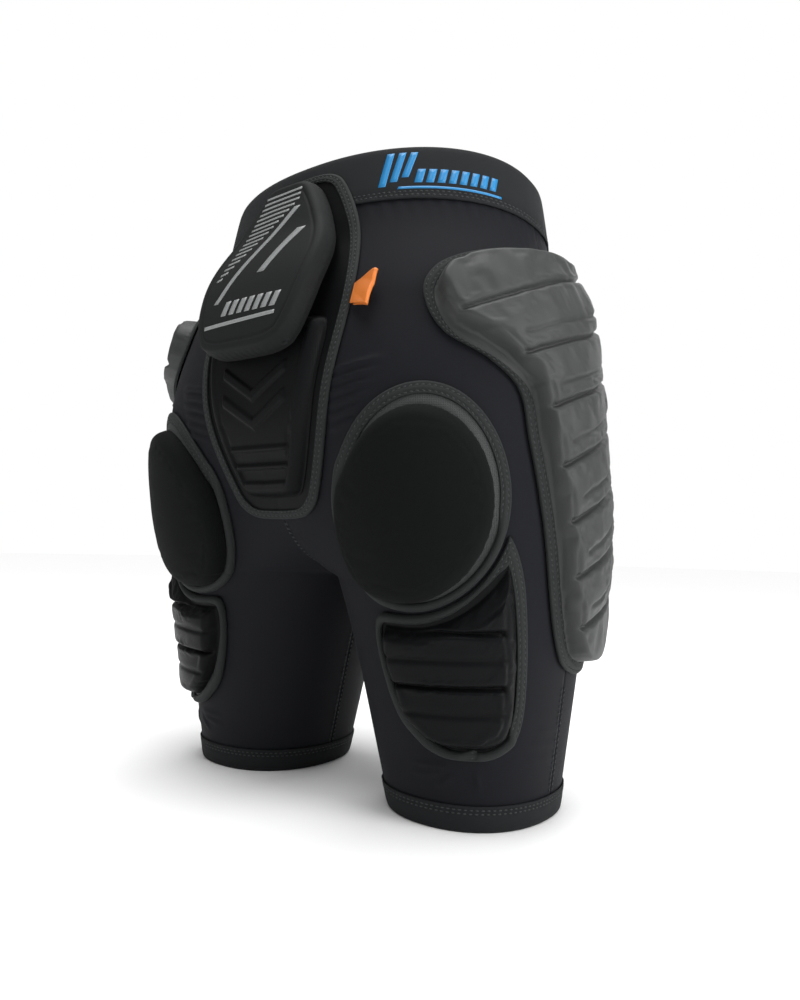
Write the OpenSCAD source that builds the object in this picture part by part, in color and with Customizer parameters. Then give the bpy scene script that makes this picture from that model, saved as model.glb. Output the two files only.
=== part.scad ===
// Padded impact shorts: a stretch shell with sewn-on protectors for tailbone, seat, hips and rear
// thighs. The wearer's front faces -Y, the wearer's left is +X, and both leg hems stand on Z = 0.

/* [Shell] */
// Height from the leg hems to the back of the waistband
short_h = 466; // [390:1:560]
// Height of the crotch above the hems
crotch_h = 162; // [135:1:195]
// How much lower the waistband sits at the front than at the back
rim_drop = 18; // [0:1:30]
// Width across the waistband
waist_w = 272; // [230:1:326]
// Depth of the waistband, front to back
waist_d = 178; // [150:1:212]
// Width across the hips, without pads
hip_w = 366; // [300:1:440]
// Depth of the seat, front to back, without pads
seat_d = 220; // [186:1:264]
// Width of one thigh at the crotch
thigh_w = 181; // [160:1:210]
// Depth of one thigh at the crotch
thigh_d = 175; // [146:1:210]
// Width of one leg opening
hem_w = 116; // [98:1:138]
// Depth of one leg opening, front to back
hem_d = 126; // [105:1:151]
// Distance between the centres of the two leg openings
hem_spread = 204; // [175:1:240]
// Roundness of the sections, where 2 is an ellipse
squareness = 2.2; // [2:0.1:2.8]
// How far the shell is set forward, so that the whole part with its pads is centred on Y = 0
set_forward = 23; // [0:1:40]

/* [Cloth] */
// Thickness of the stretch shell
fabric_t = 1.2; // [0.8:0.1:2]
// Thickness of the bands, linings and covers
cloth_t = 0.9; // [0.6:0.1:1.4]
// Clearance between curved layers that are sewn together
sewn_gap = 0.7; // [0.6:0.1:0.9]
// Clearance between layers that share one outline
layer_gap = 0.3; // [0.2:0.1:0.6]
// Height of the waistband
band_h = 42; // [32:1:52]
// Height of the leg hem bands
hem_h = 18; // [14:1:26]
// How far the shell is tucked into each band
tuck = 7; // [4:1:9]
// Thickness of the waist elastic and of the hem grippers
elastic_t = 1.2; // [0.8:0.1:1.6]
// Width of the stitched bindings round the pads
binding_w = 5; // [4:0.5:8]
// Height of the stitched bindings
binding_t = 1.9; // [1.2:0.1:3]

/* [Tailbone protector] */
// Height of the backing, from its top edge to its lower edge
tail_h = 240; // [200:1:288]
// Distance of its top edge below the rim of the waistband
tail_below_rim = 18; // [10:1:30]
// Width of the backing at its widest, level with the tag
tail_w = 128; // [104:1:156]
// Height of the lower foam pad
tail_pad_h = 122; // [100:1:146]
// Thickness of the lower foam pad
tail_pad_t = 9; // [6:0.5:11]
// Height of the outer guard
guard_h = 136; // [113:1:163]
// Width of the guard at its widest
guard_w = 104; // [86:1:120]
// Thickness of the guard's foam
guard_t = 14; // [9:0.5:18]

/* [Seat protectors] */
// Height of each dome
seat_pad_h = 134; // [110:1:165]
// Width of each dome, measured over the cloth
seat_pad_w = 106; // [88:1:130]
// Thickness of the dome's foam
seat_pad_t = 15; // [10:0.5:20]
// Height of the dome's centre above the crotch
seat_pad_z = 53; // [44:1:64]

/* [Thigh protectors] */
// Height of the pad's lower edge above the hem
thigh_pad_z = 54; // [45:1:65]
// Thickness of the thigh foam
thigh_pad_t = 10; // [6:0.5:14]

/* [Hip protectors] */
// Height of each hip pad
hip_pad_h = 292; // [240:1:356]
// Distance of its upper edge below the waistband seam, at the side
hip_pad_below_band = 28; // [15:1:40]
// Thickness of the hip foam
hip_pad_t = 11; // [7:0.5:15]
// Rise of its upper edge towards the front, per millimetre
hip_slant = 0.26; // [0.1:0.01:0.35]

/* [Tag] */
// Height of the folded tag along its seam
tag_h = 25; // [18:1:34]
// Length of the folded tag
tag_l = 19; // [12:1:26]
// Thickness of the tag's ribbon
tag_t = 0.8; // [0.5:0.1:1.2]

/* [Hidden] */

shell_col = [0.07, 0.075, 0.085];
band_col = [0.09, 0.095, 0.105];
pad_col = [0.14, 0.145, 0.155];
hip_col = [0.26, 0.27, 0.285];
binding_col = [0.11, 0.115, 0.125];
foam_col = [0.55, 0.56, 0.58];
guard_col = [0.12, 0.125, 0.13];
elastic_col = [0.85, 0.85, 0.82];
gripper_col = [0.75, 0.78, 0.8];
tag_col = [0.95, 0.45, 0.1];

// Profiles of the shell over its height: [height, value] pairs that a smooth curve joins.
rise = short_h - crotch_h;
band_z = short_h - band_h;
hip_z = crotch_h + 0.175 * rise;
seat_z = crotch_h + 0.405 * rise;
loin_z = crotch_h + 0.62 * rise;
waist_z = crotch_h + 0.81 * rise;
tilt_from = crotch_h + 0.3 * rise;

outer_x = [
    [0, (hem_spread + hem_w) / 2], [crotch_h, thigh_w], [hip_z, hip_w / 2],
    [seat_z, hip_w / 2 - 4], [loin_z, hip_w / 2 - 13],
    [waist_z, waist_w / 2 + 11], [short_h, waist_w / 2],
];
lobe_x = [
    [0, hem_spread / 2], [crotch_h, thigh_w / 2], [hip_z, 74], [seat_z, 50],
    [loin_z, 32], [waist_z, 12], [short_h, 0],
];
back_y = [
    [0, hem_d * 0.48], [crotch_h, thigh_d * 0.515], [hip_z, seat_d * 0.48],
    [seat_z, seat_d * 0.555], [loin_z, seat_d * 0.51], [waist_z, waist_d / 2 + 5],
    [short_h, waist_d / 2 - 5],
];
front_y = [
    [0, -hem_d * 0.52], [crotch_h, -thigh_d * 0.485], [hip_z, -seat_d * 0.42],
    [seat_z, -seat_d * 0.445], [loin_z, -seat_d * 0.455], [waist_z, -waist_d / 2 - 9],
    [short_h, -waist_d / 2 - 5],
];
// Height above the crotch over which the cloth bridges the gap between the thighs.
bridge_h = 80;

// Smooth curve through [position, value] pairs.
function seg(p, x, i = 0) = i >= len(p) - 2 || x < p[i + 1][0] ? i : seg(p, x, i + 1);
function slope(p, i) =
    let (a = max(0, i - 1), b = min(len(p) - 1, i + 1)) (p[b][1] - p[a][1]) / (p[b][0] - p[a][0]);
function curve(p, x) =
    let (
        i = seg(p, x), h = p[i + 1][0] - p[i][0], u = (x - p[i][0]) / h,
        u2 = u * u, u3 = u2 * u
    )
    (2 * u3 - 3 * u2 + 1) * p[i][1] + (u3 - 2 * u2 + u) * h * slope(p, i)
    + (3 * u2 - 2 * u3) * p[i + 1][1] + (u3 - u2) * h * slope(p, i + 1);
function clamp(x, a = 0, b = 1) = min(b, max(a, x));
function ease(x) = let (c = clamp(x)) c * c * (3 - 2 * c);
function mix(a, b, t) = a + (b - a) * t;
function signed_pow(v, e) = sign(v) * pow(abs(v), e);
function unit(v) = v / norm(v);
function flip_x(p) = [-p[0], p[1], p[2]];
function flatten(l) = [for (row = l, p = row) p];

// Half shell on the +X side. Angle 0 is the outer side, 90 the back, 180 the inner thigh and
// negative angles the front. Above the crotch the section ends on the plane X = 0.
function lobe_a(z) = curve(outer_x, z) - curve(lobe_x, z);
function lobe_b(z) = (curve(back_y, z) - curve(front_y, z)) / 2;
function end_angle(z) =
    let (r = curve(lobe_x, z) / lobe_a(z))
    z <= crotch_h || r >= 1 ? 180 : acos(-signed_pow(r, squareness / 2));
function bridge(z) =
    z <= crotch_h ? 0 : let (h = 1 - min(1, (z - crotch_h) / bridge_h)) sqrt(1 - h * h);
function on_shell(t, z) =
    let (
        yb = curve(back_y, z), yf = curve(front_y, z),
        s0 = pow(abs(sin(t)), 2 / squareness),
        s = abs(t) > 90 ? s0 + (1 - s0) * bridge(z) : s0,
        x = max(0, curve(lobe_x, z) + lobe_a(z) * signed_pow(cos(t), 2 / squareness)),
        y = (yb + yf) / 2 + sign(sin(t)) * s * (yb - yf) / 2,
        drop = rim_drop * clamp((z - tilt_from) / (short_h - tilt_from))
    )
    [x, y - set_forward, z - drop * (yb - y) / (yb - yf)];
function normal(t, z) =
    let (
        e = z > crotch_h ? end_angle(z) - 1 : 200,
        tc = clamp(t, -e, e),
        n = cross(on_shell(tc + 1, z) - on_shell(tc - 1, z), on_shell(tc, z + 1) - on_shell(tc, z - 1)),
        flat = z > crotch_h && abs(t) >= e + 0.99
    )
    unit([flat ? 0 : n[0], n[1], n[2]]);
function skin(t, z, out) = on_shell(t, z) + out * normal(t, z);

// Points by their distance over the cloth from the side line, and by their distance from X = 0.
function mm_per_degree(z) = PI / 180 * sqrt((pow(lobe_a(z), 2) + pow(lobe_b(z), 2)) / 2);
function over_side(s, z, out) = skin(s / mm_per_degree(z), z, out);
function back_angle(x, z) =
    acos(clamp(signed_pow((x - curve(lobe_x, z)) / lobe_a(z), squareness / 2), -1, 1));
function over_back(x, z, out) =
    let (p = skin(abs(x) < 0.001 ? end_angle(z) : back_angle(abs(x), z), z, out))
    x < 0 ? flip_x(p) : p;

// Closed slab between two grids of points, rows upwards and columns from the side to the back.
function quad(a, b, c, d) = [[a, b, c], [a, c, d]];
module slab(lower, upper) {
    rows = len(lower);
    cols = len(lower[0]);
    n = rows * cols;
    r1 = rows - 1;
    c1 = cols - 1;
    faces = flatten(concat(
        [for (r = [0:r1 - 1], c = [0:c1 - 1]) let (i = n + r * cols + c)
            quad(i, i + cols, i + cols + 1, i + 1)],
        [for (r = [0:r1 - 1], c = [0:c1 - 1]) let (i = r * cols + c)
            [[i, i + cols + 1, i + cols], [i, i + 1, i + cols + 1]]],
        [for (c = [0:c1 - 1]) quad(n + c, n + c + 1, c + 1, c)],
        [for (c = [0:c1 - 1]) let (i = r1 * cols + c) quad(n + i + 1, n + i, i, i + 1)],
        [for (r = [0:r1 - 1]) let (i = r * cols) quad(n + i + cols, n + i, i, i + cols)],
        [for (r = [0:r1 - 1]) let (i = r * cols + c1) quad(n + i, n + i + cols, i + cols, i)]
    ));
    polyhedron(concat(flatten(lower), flatten(upper)), faces, convexity = 8);
}

// Closed ring: one section of points at each station of a closed path.
module ring(stations) {
    n = len(stations);
    k = len(stations[0]);
    faces = flatten([for (i = [0:n - 1], j = [0:k - 1])
        let (i2 = (i + 1) % n, j2 = (j + 1) % k)
        quad(i * k + j, i2 * k + j, i2 * k + j2, i * k + j2)]);
    polyhedron(flatten(stations), faces, convexity = 8);
}

// A pad is a function place(u, v, grow, out): u runs from -1 to 1 across it, v upwards, grow widens
// its outline and out lifts the point off the shell.
function grade(n) = [for (i = [0:n]) (sin(180 * i / n - 90) + 2 * i / n - 1) / 2];
function inner(l) = [for (i = [1:len(l) - 2]) l[i]];
function crown(u, v) = (1 - pow(abs(u), 6)) * (1 - pow(abs(v), 6));
function round_crown(u, v) =
    let (r2 = u * u + v * v - u * u * v * v) pow(max(0, 1 - pow(r2, 1.6)), 0.8);
function field(place, us, vs, height) =
    [for (v = vs) [for (u = us) place(u, v, 0, height(u, v))]];

lining_out = sewn_gap;
foam_out = lining_out + cloth_t + layer_gap;

module pad_lining(place, nu, nv) {
    slab(field(place, grade(nu), grade(nv), function(u, v) lining_out),
         field(place, grade(nu), grade(nv), function(u, v) lining_out + cloth_t));
}
module pad_foam(place, nu, nv, t, shape) {
    us = inner(grade(nu));
    vs = inner(grade(nv));
    slab(field(place, us, vs, function(u, v) foam_out),
         field(place, us, vs, function(u, v) foam_out + t * shape(u, v)));
}
module pad_cover(place, nu, nv, t, shape) {
    low = function(u, v) foam_out + t * shape(u, v) + layer_gap * min(1, 99 * shape(u, v));
    slab(field(place, grade(nu), grade(nv), low),
         field(place, grade(nu), grade(nv), function(u, v) low(u, v) + cloth_t));
}
module pad_binding(place, nu, nv) {
    us = grade(nu);
    vs = grade(nv);
    loop = concat(
        [for (i = [0:nu - 1]) [us[i], -1]], [for (i = [0:nv - 1]) [1, vs[i]]],
        [for (i = [nu:-1:1]) [us[i], 1]], [for (i = [nv:-1:1]) [-1, vs[i]]]
    );
    near = layer_gap + 0.2;
    far = near + binding_w;
    low = lining_out + 0.15;
    high = low + binding_t;
    ring([for (q = loop) [
        place(q[0], q[1], near, low), place(q[0], q[1], near, high),
        place(q[0], q[1], far, high), place(q[0], q[1], far, low)
    ]]);
}
module on_side(left) {
    if (left) children();
    else mirror([1, 0, 0]) children();
}

// Shell panels. The back and front panels meet at the side line and at the inseam.
panel_rows = concat(
    [hem_h - tuck],
    [for (i = [0:5]) mix(hem_h, crotch_h, i / 5)],
    [for (i = [1:11]) crotch_h + (band_z - crotch_h) * pow(i / 11, 1.25)],
    [band_z + tuck]
);
module panel(way) {
    cols = 13;
    grid = function(out) [for (z = panel_rows) [for (i = [0:cols])
        skin(way > 0 ? end_angle(z) * i / cols : end_angle(z) * (i / cols - 1), z, out)]];
    slab(grid(-fabric_t), grid(0));
}
module back_panel(left) {
    color(shell_col) on_side(left) panel(1);
}
module front_panel(left) {
    color(shell_col) on_side(left) panel(-1);
}

// Closed loops round the waist and round one leg, at angle q from the front or from the side.
function round_waist(q, z, out) =
    q <= 180 ? skin(end_angle(z) * (q / 90 - 1), z, out)
             : flip_x(skin(end_angle(z) * ((360 - q) / 90 - 1), z, out));
function round_leg(q, z, out) =
    let (t = q > 180 ? q - 360 : q, n = normal(t, z))
    on_shell(t, z) + out * unit([n[0], n[1], 0]);
waist_steps = 52;
leg_steps = 32;
// Bands are folded over the edge of the shell, with clearance on both of its faces.
slot_in = -fabric_t - sewn_gap + 0.1;
slot_out = sewn_gap - 0.1;

module waistband() {
    fold = short_h - cloth_t;
    cover = band_z + tuck;
    color(band_col) ring([for (i = [0:waist_steps - 1]) let (q = 360 * i / waist_steps) [
        round_waist(q, band_z, slot_out + cloth_t), round_waist(q, band_z, slot_out),
        round_waist(q, cover, slot_out), round_waist(q, fold, slot_out),
        round_waist(q, fold, slot_in), round_waist(q, cover, slot_in),
        round_waist(q, band_z, slot_in), round_waist(q, band_z, slot_in - cloth_t),
        round_waist(q, cover, slot_in - cloth_t), round_waist(q, short_h, slot_in - cloth_t),
        round_waist(q, short_h, slot_out + cloth_t), round_waist(q, cover, slot_out + cloth_t)
    ]]);
}
module waist_elastic() {
    low = band_z + tuck + layer_gap;
    high = short_h - cloth_t - layer_gap;
    mid = (slot_in + slot_out) / 2;
    color(elastic_col) ring([for (i = [0:waist_steps - 1]) let (q = 360 * i / waist_steps) [
        round_waist(q, low, mid + elastic_t / 2), round_waist(q, low, mid - elastic_t / 2),
        round_waist(q, high, mid - elastic_t / 2), round_waist(q, high, mid + elastic_t / 2)
    ]]);
}
module leg_hem(left) {
    fold = cloth_t;
    color(band_col) on_side(left) ring([for (i = [0:leg_steps - 1]) let (q = 360 * i / leg_steps) [
        round_leg(q, 0, slot_out + cloth_t), round_leg(q, 0, slot_in - cloth_t),
        round_leg(q, hem_h, slot_in - cloth_t), round_leg(q, hem_h, slot_in),
        round_leg(q, fold, slot_in), round_leg(q, fold, slot_out),
        round_leg(q, hem_h, slot_out), round_leg(q, hem_h, slot_out + cloth_t)
    ]]);
}
module hem_gripper(left) {
    out = slot_in - cloth_t - layer_gap;
    low = 3;
    high = hem_h - 3;
    color(gripper_col) on_side(left) ring([for (i = [0:leg_steps - 1]) let (q = 360 * i / leg_steps) [
        round_leg(q, low, out), round_leg(q, low, out - elastic_t),
        round_leg(q, high, out - elastic_t), round_leg(q, high, out)
    ]]);
}

// Tailbone protector. Its backing runs up over the waistband, so it lifts by the band's thickness.
tail_top = short_h - tail_below_rim;
tail_mid = tail_top - tail_h / 2;
// It narrows from just below the tops of the seat domes.
seat_mid = crotch_h + seat_pad_z;
tail_narrows = (seat_mid + seat_pad_h / 2 - 4.4 - tail_mid) / (tail_h / 2);
tail_edge = [
    [-1, 0.42], [-0.9, 0.56], [tail_narrows, 0.87], [0.18, 1], [0.6, 0.84], [0.93, 0.55],
    [1, 0.44],
];
function band_lift(z) = (slot_out + cloth_t) * ease((z - band_z + 32) / 26);
function place_tail(u, v, grow, out) =
    let (z = tail_mid + v * (tail_h / 2 + grow), x = -u * (tail_w / 2 * curve(tail_edge, v) + grow))
    over_back(x, z, out + band_lift(z));

tail_pad_low = tail_top - tail_h + 9;
tail_pad_mid = tail_pad_low + tail_pad_h / 2;
// Clearance of the lower pad over the backing, which both bend round the back.
tail_pad_ease = 0.5;
function place_tail_pad(u, v, grow, out) =
    let (
        z = tail_pad_mid + v * (tail_pad_h / 2 + grow),
        edge = curve(tail_edge, (z - tail_mid) / (tail_h / 2)),
        x = -u * (tail_w / 2 * edge - 7 + grow)
    )
    over_back(x, z, out + tail_pad_ease);

guard_top = tail_top - 3;
guard_mid = guard_top - guard_h / 2;
guard_edge = [
    [-1, 0.72], [-0.9, 0.85], [-0.5, 0.98], [0, 0.99], [0.5, 0.74], [0.92, 0.46], [1, 0.4],
];
// The guard clears the lower pad at its free edge and touches the backing at its stitched edge.
guard_lift_top = sewn_gap + cloth_t + layer_gap - lining_out;
guard_lift_low = foam_out + tail_pad_ease + tail_pad_t + layer_gap + cloth_t + 1.6 - lining_out;
function place_guard(u, v, grow, out) =
    let (
        z = guard_mid + v * guard_h / 2,
        x = -u * guard_w / 2 * curve(guard_edge, v),
        lift = mix(guard_lift_top, guard_lift_low, ease((1 - v) / 1.7))
    )
    over_back(x, z, out + band_lift(z) + lift);
function guard_crown(u, v) = (1 - 0.62 * pow(abs(u), 9)) * (1 - 0.62 * pow(abs(v), 9));

module tailbone_backing() {
    color(pad_col) pad_lining(function(u, v, g, o) place_tail(u, v, g, o), 12, 14);
}
module tailbone_binding() {
    color(binding_col) pad_binding(function(u, v, g, o) place_tail(u, v, g, o), 12, 14);
}
module tailbone_pad_foam() {
    color(foam_col) pad_foam(function(u, v, g, o) place_tail_pad(u, v, g, o), 10, 10, tail_pad_t,
        function(u, v) crown(u, v));
}
module tailbone_pad_cover() {
    color(pad_col) pad_cover(function(u, v, g, o) place_tail_pad(u, v, g, o), 10, 10, tail_pad_t,
        function(u, v) crown(u, v));
}
module guard_lining() {
    color(guard_col) pad_lining(function(u, v, g, o) place_guard(u, v, g, o), 10, 10);
}
module guard_foam() {
    color(foam_col) pad_foam(function(u, v, g, o) place_guard(u, v, g, o), 10, 10, guard_t,
        function(u, v) guard_crown(u, v));
}
// The guard's cover is a thick cap: its sides stand on the rim of the lining.
module guard_cover() {
    us = grade(10);
    vs = grade(10);
    top = function(u, v) foam_out + guard_t * guard_crown(u, v) + layer_gap;
    rim = function(u, v) max(abs(u), abs(v)) > 0.999;
    color(guard_col) slab(
        field(function(u, v, g, o) place_guard(u, v, g, o), us, vs,
            function(u, v) rim(u, v) ? foam_out : top(u, v)),
        field(function(u, v, g, o) place_guard(u, v, g, o), us, vs,
            function(u, v) rim(u, v) ? foam_out + 0.7 * guard_t * guard_crown(u, v)
                                     : top(u, v) + cloth_t));
}

// Folded ribbon tag, sewn into the right edge of the tailbone protector.
// It lies along the cloth at its own slant and stands a little off it, clear to swing.
tag_z = tail_mid + 0.18 * tail_h / 2;
tag_bend = tag_t + 0.7;
tag_x = -(tail_w / 2 + layer_gap + 0.2 + binding_w + 2.1);
tag_seam = over_back(tag_x, tag_z, tag_bend + 0.6);
tag_up = over_back(tag_x, tag_z + tag_h / 2, tag_bend) - over_back(tag_x, tag_z - tag_h / 2, tag_bend);
tag_slant = atan2(-tag_up[1], tag_up[2]);
tag_turn = 170;
// The folded outline, with a round fold at its free end.
module tag_outline(r, start) {
    fold = tag_l - tag_bend;
    translate([start, -r]) square([fold - start, 2 * r]);
    translate([fold, 0]) circle(r, $fn = 32);
}
module tag_loop() {
    color(tag_col)
        translate(tag_seam)
            rotate([tag_slant, 0, 0])
                rotate([0, 0, tag_turn])
                    translate([0, 0, -tag_h / 2])
                        linear_extrude(tag_h)
                            difference() {
                                tag_outline(tag_bend, -tag_t);
                                tag_outline(tag_bend - tag_t, 0);
                            }
}

// Seat domes: ellipses over the cloth, leaning outwards at the top.
seat_s = 121;
seat_lean = 7;
function place_seat(u, v, grow, out) =
    let (
        p = u * sqrt(1 - v * v / 2) * (seat_pad_w / 2 + grow),
        q = v * sqrt(1 - u * u / 2) * (seat_pad_h / 2 + grow)
    )
    over_side(
        seat_s + p * cos(seat_lean) - q * sin(seat_lean),
        seat_mid + p * sin(seat_lean) + q * cos(seat_lean), out);
module seat_lining(left) {
    color(pad_col) on_side(left) pad_lining(function(u, v, g, o) place_seat(u, v, g, o), 10, 10);
}
module seat_foam(left) {
    color(foam_col) on_side(left)
        pad_foam(function(u, v, g, o) place_seat(u, v, g, o), 10, 10, seat_pad_t,
            function(u, v) round_crown(u, v));
}
module seat_cover(left) {
    color(pad_col) on_side(left)
        pad_cover(function(u, v, g, o) place_seat(u, v, g, o), 10, 10, seat_pad_t,
            function(u, v) round_crown(u, v));
}
module seat_binding(left) {
    color(binding_col) on_side(left)
        pad_binding(function(u, v, g, o) place_seat(u, v, g, o), 10, 10);
}

// Thigh pads: their upper edge follows the lower edge of the seat dome's binding.
thigh_outer = [[-1, 55], [-0.85, 45], [-0.4, 44], [0.4, 53], [1, 66]];
thigh_inner = [[-1, 88], [-0.85, 99], [-0.4, 117], [0.4, 135], [1, 143]];
seat_keep = binding_w + layer_gap + 0.2 + 1;
function under_seat(s) =
    let (
        a = seat_pad_w / 2 + seat_keep, b = seat_pad_h / 2 + seat_keep,
        c = cos(seat_lean), n = sin(seat_lean),
        reach = 0.97 * sqrt(a * a * c * c + b * b * n * n),
        d = clamp(s - seat_s, -reach, reach),
        qa = n * n / (a * a) + c * c / (b * b),
        qb = 2 * d * c * n * (1 / (a * a) - 1 / (b * b)),
        qc = d * d * (c * c / (a * a) + n * n / (b * b)) - 1
    )
    seat_mid - (qb + sqrt(qb * qb - 4 * qa * qc)) / (2 * qa);
function place_thigh(u, v, grow, out) =
    let (
        s = mix(curve(thigh_outer, v) - grow, curve(thigh_inner, v) + grow, (u + 1) / 2),
        top = under_seat(s) - seat_keep,
        z = mix(thigh_pad_z - grow, top + grow, (v + 1) / 2)
    )
    over_side(s, z, out);
module thigh_lining(left) {
    color(pad_col) on_side(left) pad_lining(function(u, v, g, o) place_thigh(u, v, g, o), 10, 10);
}
module thigh_foam(left) {
    color(foam_col) on_side(left)
        pad_foam(function(u, v, g, o) place_thigh(u, v, g, o), 10, 10, thigh_pad_t,
            function(u, v) crown(u, v));
}
module thigh_cover(left) {
    color(pad_col) on_side(left)
        pad_cover(function(u, v, g, o) place_thigh(u, v, g, o), 10, 10, thigh_pad_t,
            function(u, v) crown(u, v));
}
module thigh_binding(left) {
    color(binding_col) on_side(left)
        pad_binding(function(u, v, g, o) place_thigh(u, v, g, o), 10, 10);
}

// Hip pads: their rear edge steps back into an ear at the top.
hip_rear = [
    [-1, -5], [-0.9, 8], [-0.6, 23], [-0.28, 32], [0.07, 41], [0.3, 47], [0.45, 68],
    [0.62, 100], [0.85, 114], [1, 108],
];
hip_front = [[-1, -42], [-0.9, -56], [0, -75], [0.6, -82], [0.9, -74], [1, -62]];
hip_top = band_z - hip_pad_below_band;
hip_mid = hip_top - hip_pad_h / 2;
// Extra clearance under the hip pads, which bend round the tightest part of the side in flat steps.
hip_arc = 188;
hip_steps = 14;
side_round = pow(seat_d / 2, 2) / (hip_w / 2 - 62);
hip_ease = 2 * pow(hip_arc / hip_steps, 2) / (8 * side_round);
function place_hip(u, v, grow, out) =
    let (
        s = mix(curve(hip_front, v) - grow, curve(hip_rear, v) + grow, (u + 1) / 2),
        z = hip_mid + v * (hip_pad_h / 2 + grow) - hip_slant * (0.6 + 0.4 * v) * s
    )
    over_side(s, z, out + hip_ease);
module hip_lining(left) {
    color(pad_col) on_side(left) pad_lining(function(u, v, g, o) place_hip(u, v, g, o), hip_steps, 16);
}
module hip_foam(left) {
    color(foam_col) on_side(left)
        pad_foam(function(u, v, g, o) place_hip(u, v, g, o), hip_steps, 16, hip_pad_t,
            function(u, v) crown(u, v));
}
module hip_cover(left) {
    color(hip_col) on_side(left)
        pad_cover(function(u, v, g, o) place_hip(u, v, g, o), hip_steps, 16, hip_pad_t,
            function(u, v) crown(u, v));
}
module hip_binding(left) {
    color(binding_col) on_side(left)
        pad_binding(function(u, v, g, o) place_hip(u, v, g, o), hip_steps, 16);
}

back_panel(true);  // back_panel_left
back_panel(false);  // back_panel_right
front_panel(true);  // front_panel_left
front_panel(false);  // front_panel_right
waistband();
waist_elastic();
leg_hem(true);  // leg_hem_left
leg_hem(false);  // leg_hem_right
hem_gripper(true);  // hem_gripper_left
hem_gripper(false);  // hem_gripper_right
tailbone_backing();
tailbone_binding();
tailbone_pad_foam();
tailbone_pad_cover();
guard_lining();
guard_foam();
guard_cover();
tag_loop();
hip_lining(true);  // hip_lining_left
hip_foam(true);  // hip_foam_left
hip_cover(true);  // hip_cover_left
hip_binding(true);  // hip_binding_left
hip_lining(false);  // hip_lining_right
hip_foam(false);  // hip_foam_right
hip_cover(false);  // hip_cover_right
hip_binding(false);  // hip_binding_right
seat_lining(true);  // seat_lining_left
seat_foam(true);  // seat_foam_left
seat_cover(true);  // seat_cover_left
seat_binding(true);  // seat_binding_left
seat_lining(false);  // seat_lining_right
seat_foam(false);  // seat_foam_right
seat_cover(false);  // seat_cover_right
seat_binding(false);  // seat_binding_right
thigh_lining(true);  // thigh_lining_left
thigh_foam(true);  // thigh_foam_left
thigh_cover(true);  // thigh_cover_left
thigh_binding(true);  // thigh_binding_left
thigh_lining(false);  // thigh_lining_right
thigh_foam(false);  // thigh_foam_right
thigh_cover(false);  // thigh_cover_right
thigh_binding(false);  // thigh_binding_right
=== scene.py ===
"""Looks of the padded impact shorts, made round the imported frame. All outlines are in millimetres."""

import math

import bmesh
import bpy
import numpy as np
from bpy.props import FloatProperty, FloatVectorProperty, IntProperty, PointerProperty
from mathutils import Matrix, Vector
from mathutils.bvhtree import BVHTree
from mathutils.kdtree import KDTree


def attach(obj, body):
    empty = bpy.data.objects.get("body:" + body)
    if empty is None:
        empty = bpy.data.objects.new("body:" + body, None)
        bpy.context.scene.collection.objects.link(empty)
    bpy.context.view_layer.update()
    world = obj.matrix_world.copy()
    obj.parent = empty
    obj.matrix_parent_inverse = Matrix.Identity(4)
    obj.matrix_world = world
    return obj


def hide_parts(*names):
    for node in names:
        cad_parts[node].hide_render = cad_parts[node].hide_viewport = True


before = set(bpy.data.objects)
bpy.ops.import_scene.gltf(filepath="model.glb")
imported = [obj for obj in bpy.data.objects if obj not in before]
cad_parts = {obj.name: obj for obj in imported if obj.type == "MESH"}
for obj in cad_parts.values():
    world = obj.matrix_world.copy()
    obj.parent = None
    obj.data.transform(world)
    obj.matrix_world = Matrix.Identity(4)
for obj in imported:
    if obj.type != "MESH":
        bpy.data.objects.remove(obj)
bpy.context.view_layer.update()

bl_info = {
    "name": "Padded Impact Shorts",
    "version": (1, 0, 0),
    "blender": (4, 5, 0),
    "location": "View3D > Sidebar > Shorts",
    "description": "Makes the shell, pads, bands and stitching of padded impact shorts",
    "category": "Object",
}

MM = 0.001

# Shell sizes, the same as the frame's.
HEIGHT, CROTCH, RIM_DROP, FORWARD, SQUARE = 466, 162, 18, 23, 2.2
WAIST_W, WAIST_D, HIP_W, SEAT_D = 272, 178, 366, 220
THIGH_W, THIGH_D, HEM_W, HEM_D, HEM_SPREAD = 181, 175, 116, 126, 204
BAND, HEM, TUCK, BRIDGE, CLOTH_THICK = 42, 18, 7, 80, 1.2
RISE = HEIGHT - CROTCH
BAND_Z = HEIGHT - BAND
HIP_Z, SEAT_Z, LOIN_Z, WAIST_Z, TILT_Z = (CROTCH + k * RISE for k in (0.175, 0.405, 0.62, 0.81, 0.3))
OUTER_X = [(0, (HEM_SPREAD + HEM_W) / 2), (CROTCH, THIGH_W), (HIP_Z, HIP_W / 2), (SEAT_Z, HIP_W / 2 - 4),
           (LOIN_Z, HIP_W / 2 - 13), (WAIST_Z, WAIST_W / 2 + 11), (HEIGHT, WAIST_W / 2)]
LOBE_X = [(0, HEM_SPREAD / 2), (CROTCH, THIGH_W / 2), (HIP_Z, 74), (SEAT_Z, 50), (LOIN_Z, 32), (WAIST_Z, 12),
          (HEIGHT, 0)]
BACK_Y = [(0, HEM_D * 0.48), (CROTCH, THIGH_D * 0.515), (HIP_Z, SEAT_D * 0.48), (SEAT_Z, SEAT_D * 0.555),
          (LOIN_Z, SEAT_D * 0.51), (WAIST_Z, WAIST_D / 2 + 5), (HEIGHT, WAIST_D / 2 - 5)]
FRONT_Y = [(0, -HEM_D * 0.52), (CROTCH, -THIGH_D * 0.485), (HIP_Z, -SEAT_D * 0.42), (SEAT_Z, -SEAT_D * 0.445),
           (LOIN_Z, -SEAT_D * 0.455), (WAIST_Z, -WAIST_D / 2 - 9), (HEIGHT, -WAIST_D / 2 - 5)]
LEFT, RIGHT = 1, -1
SIDES = ((LEFT, "left"), (RIGHT, "right"))


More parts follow.
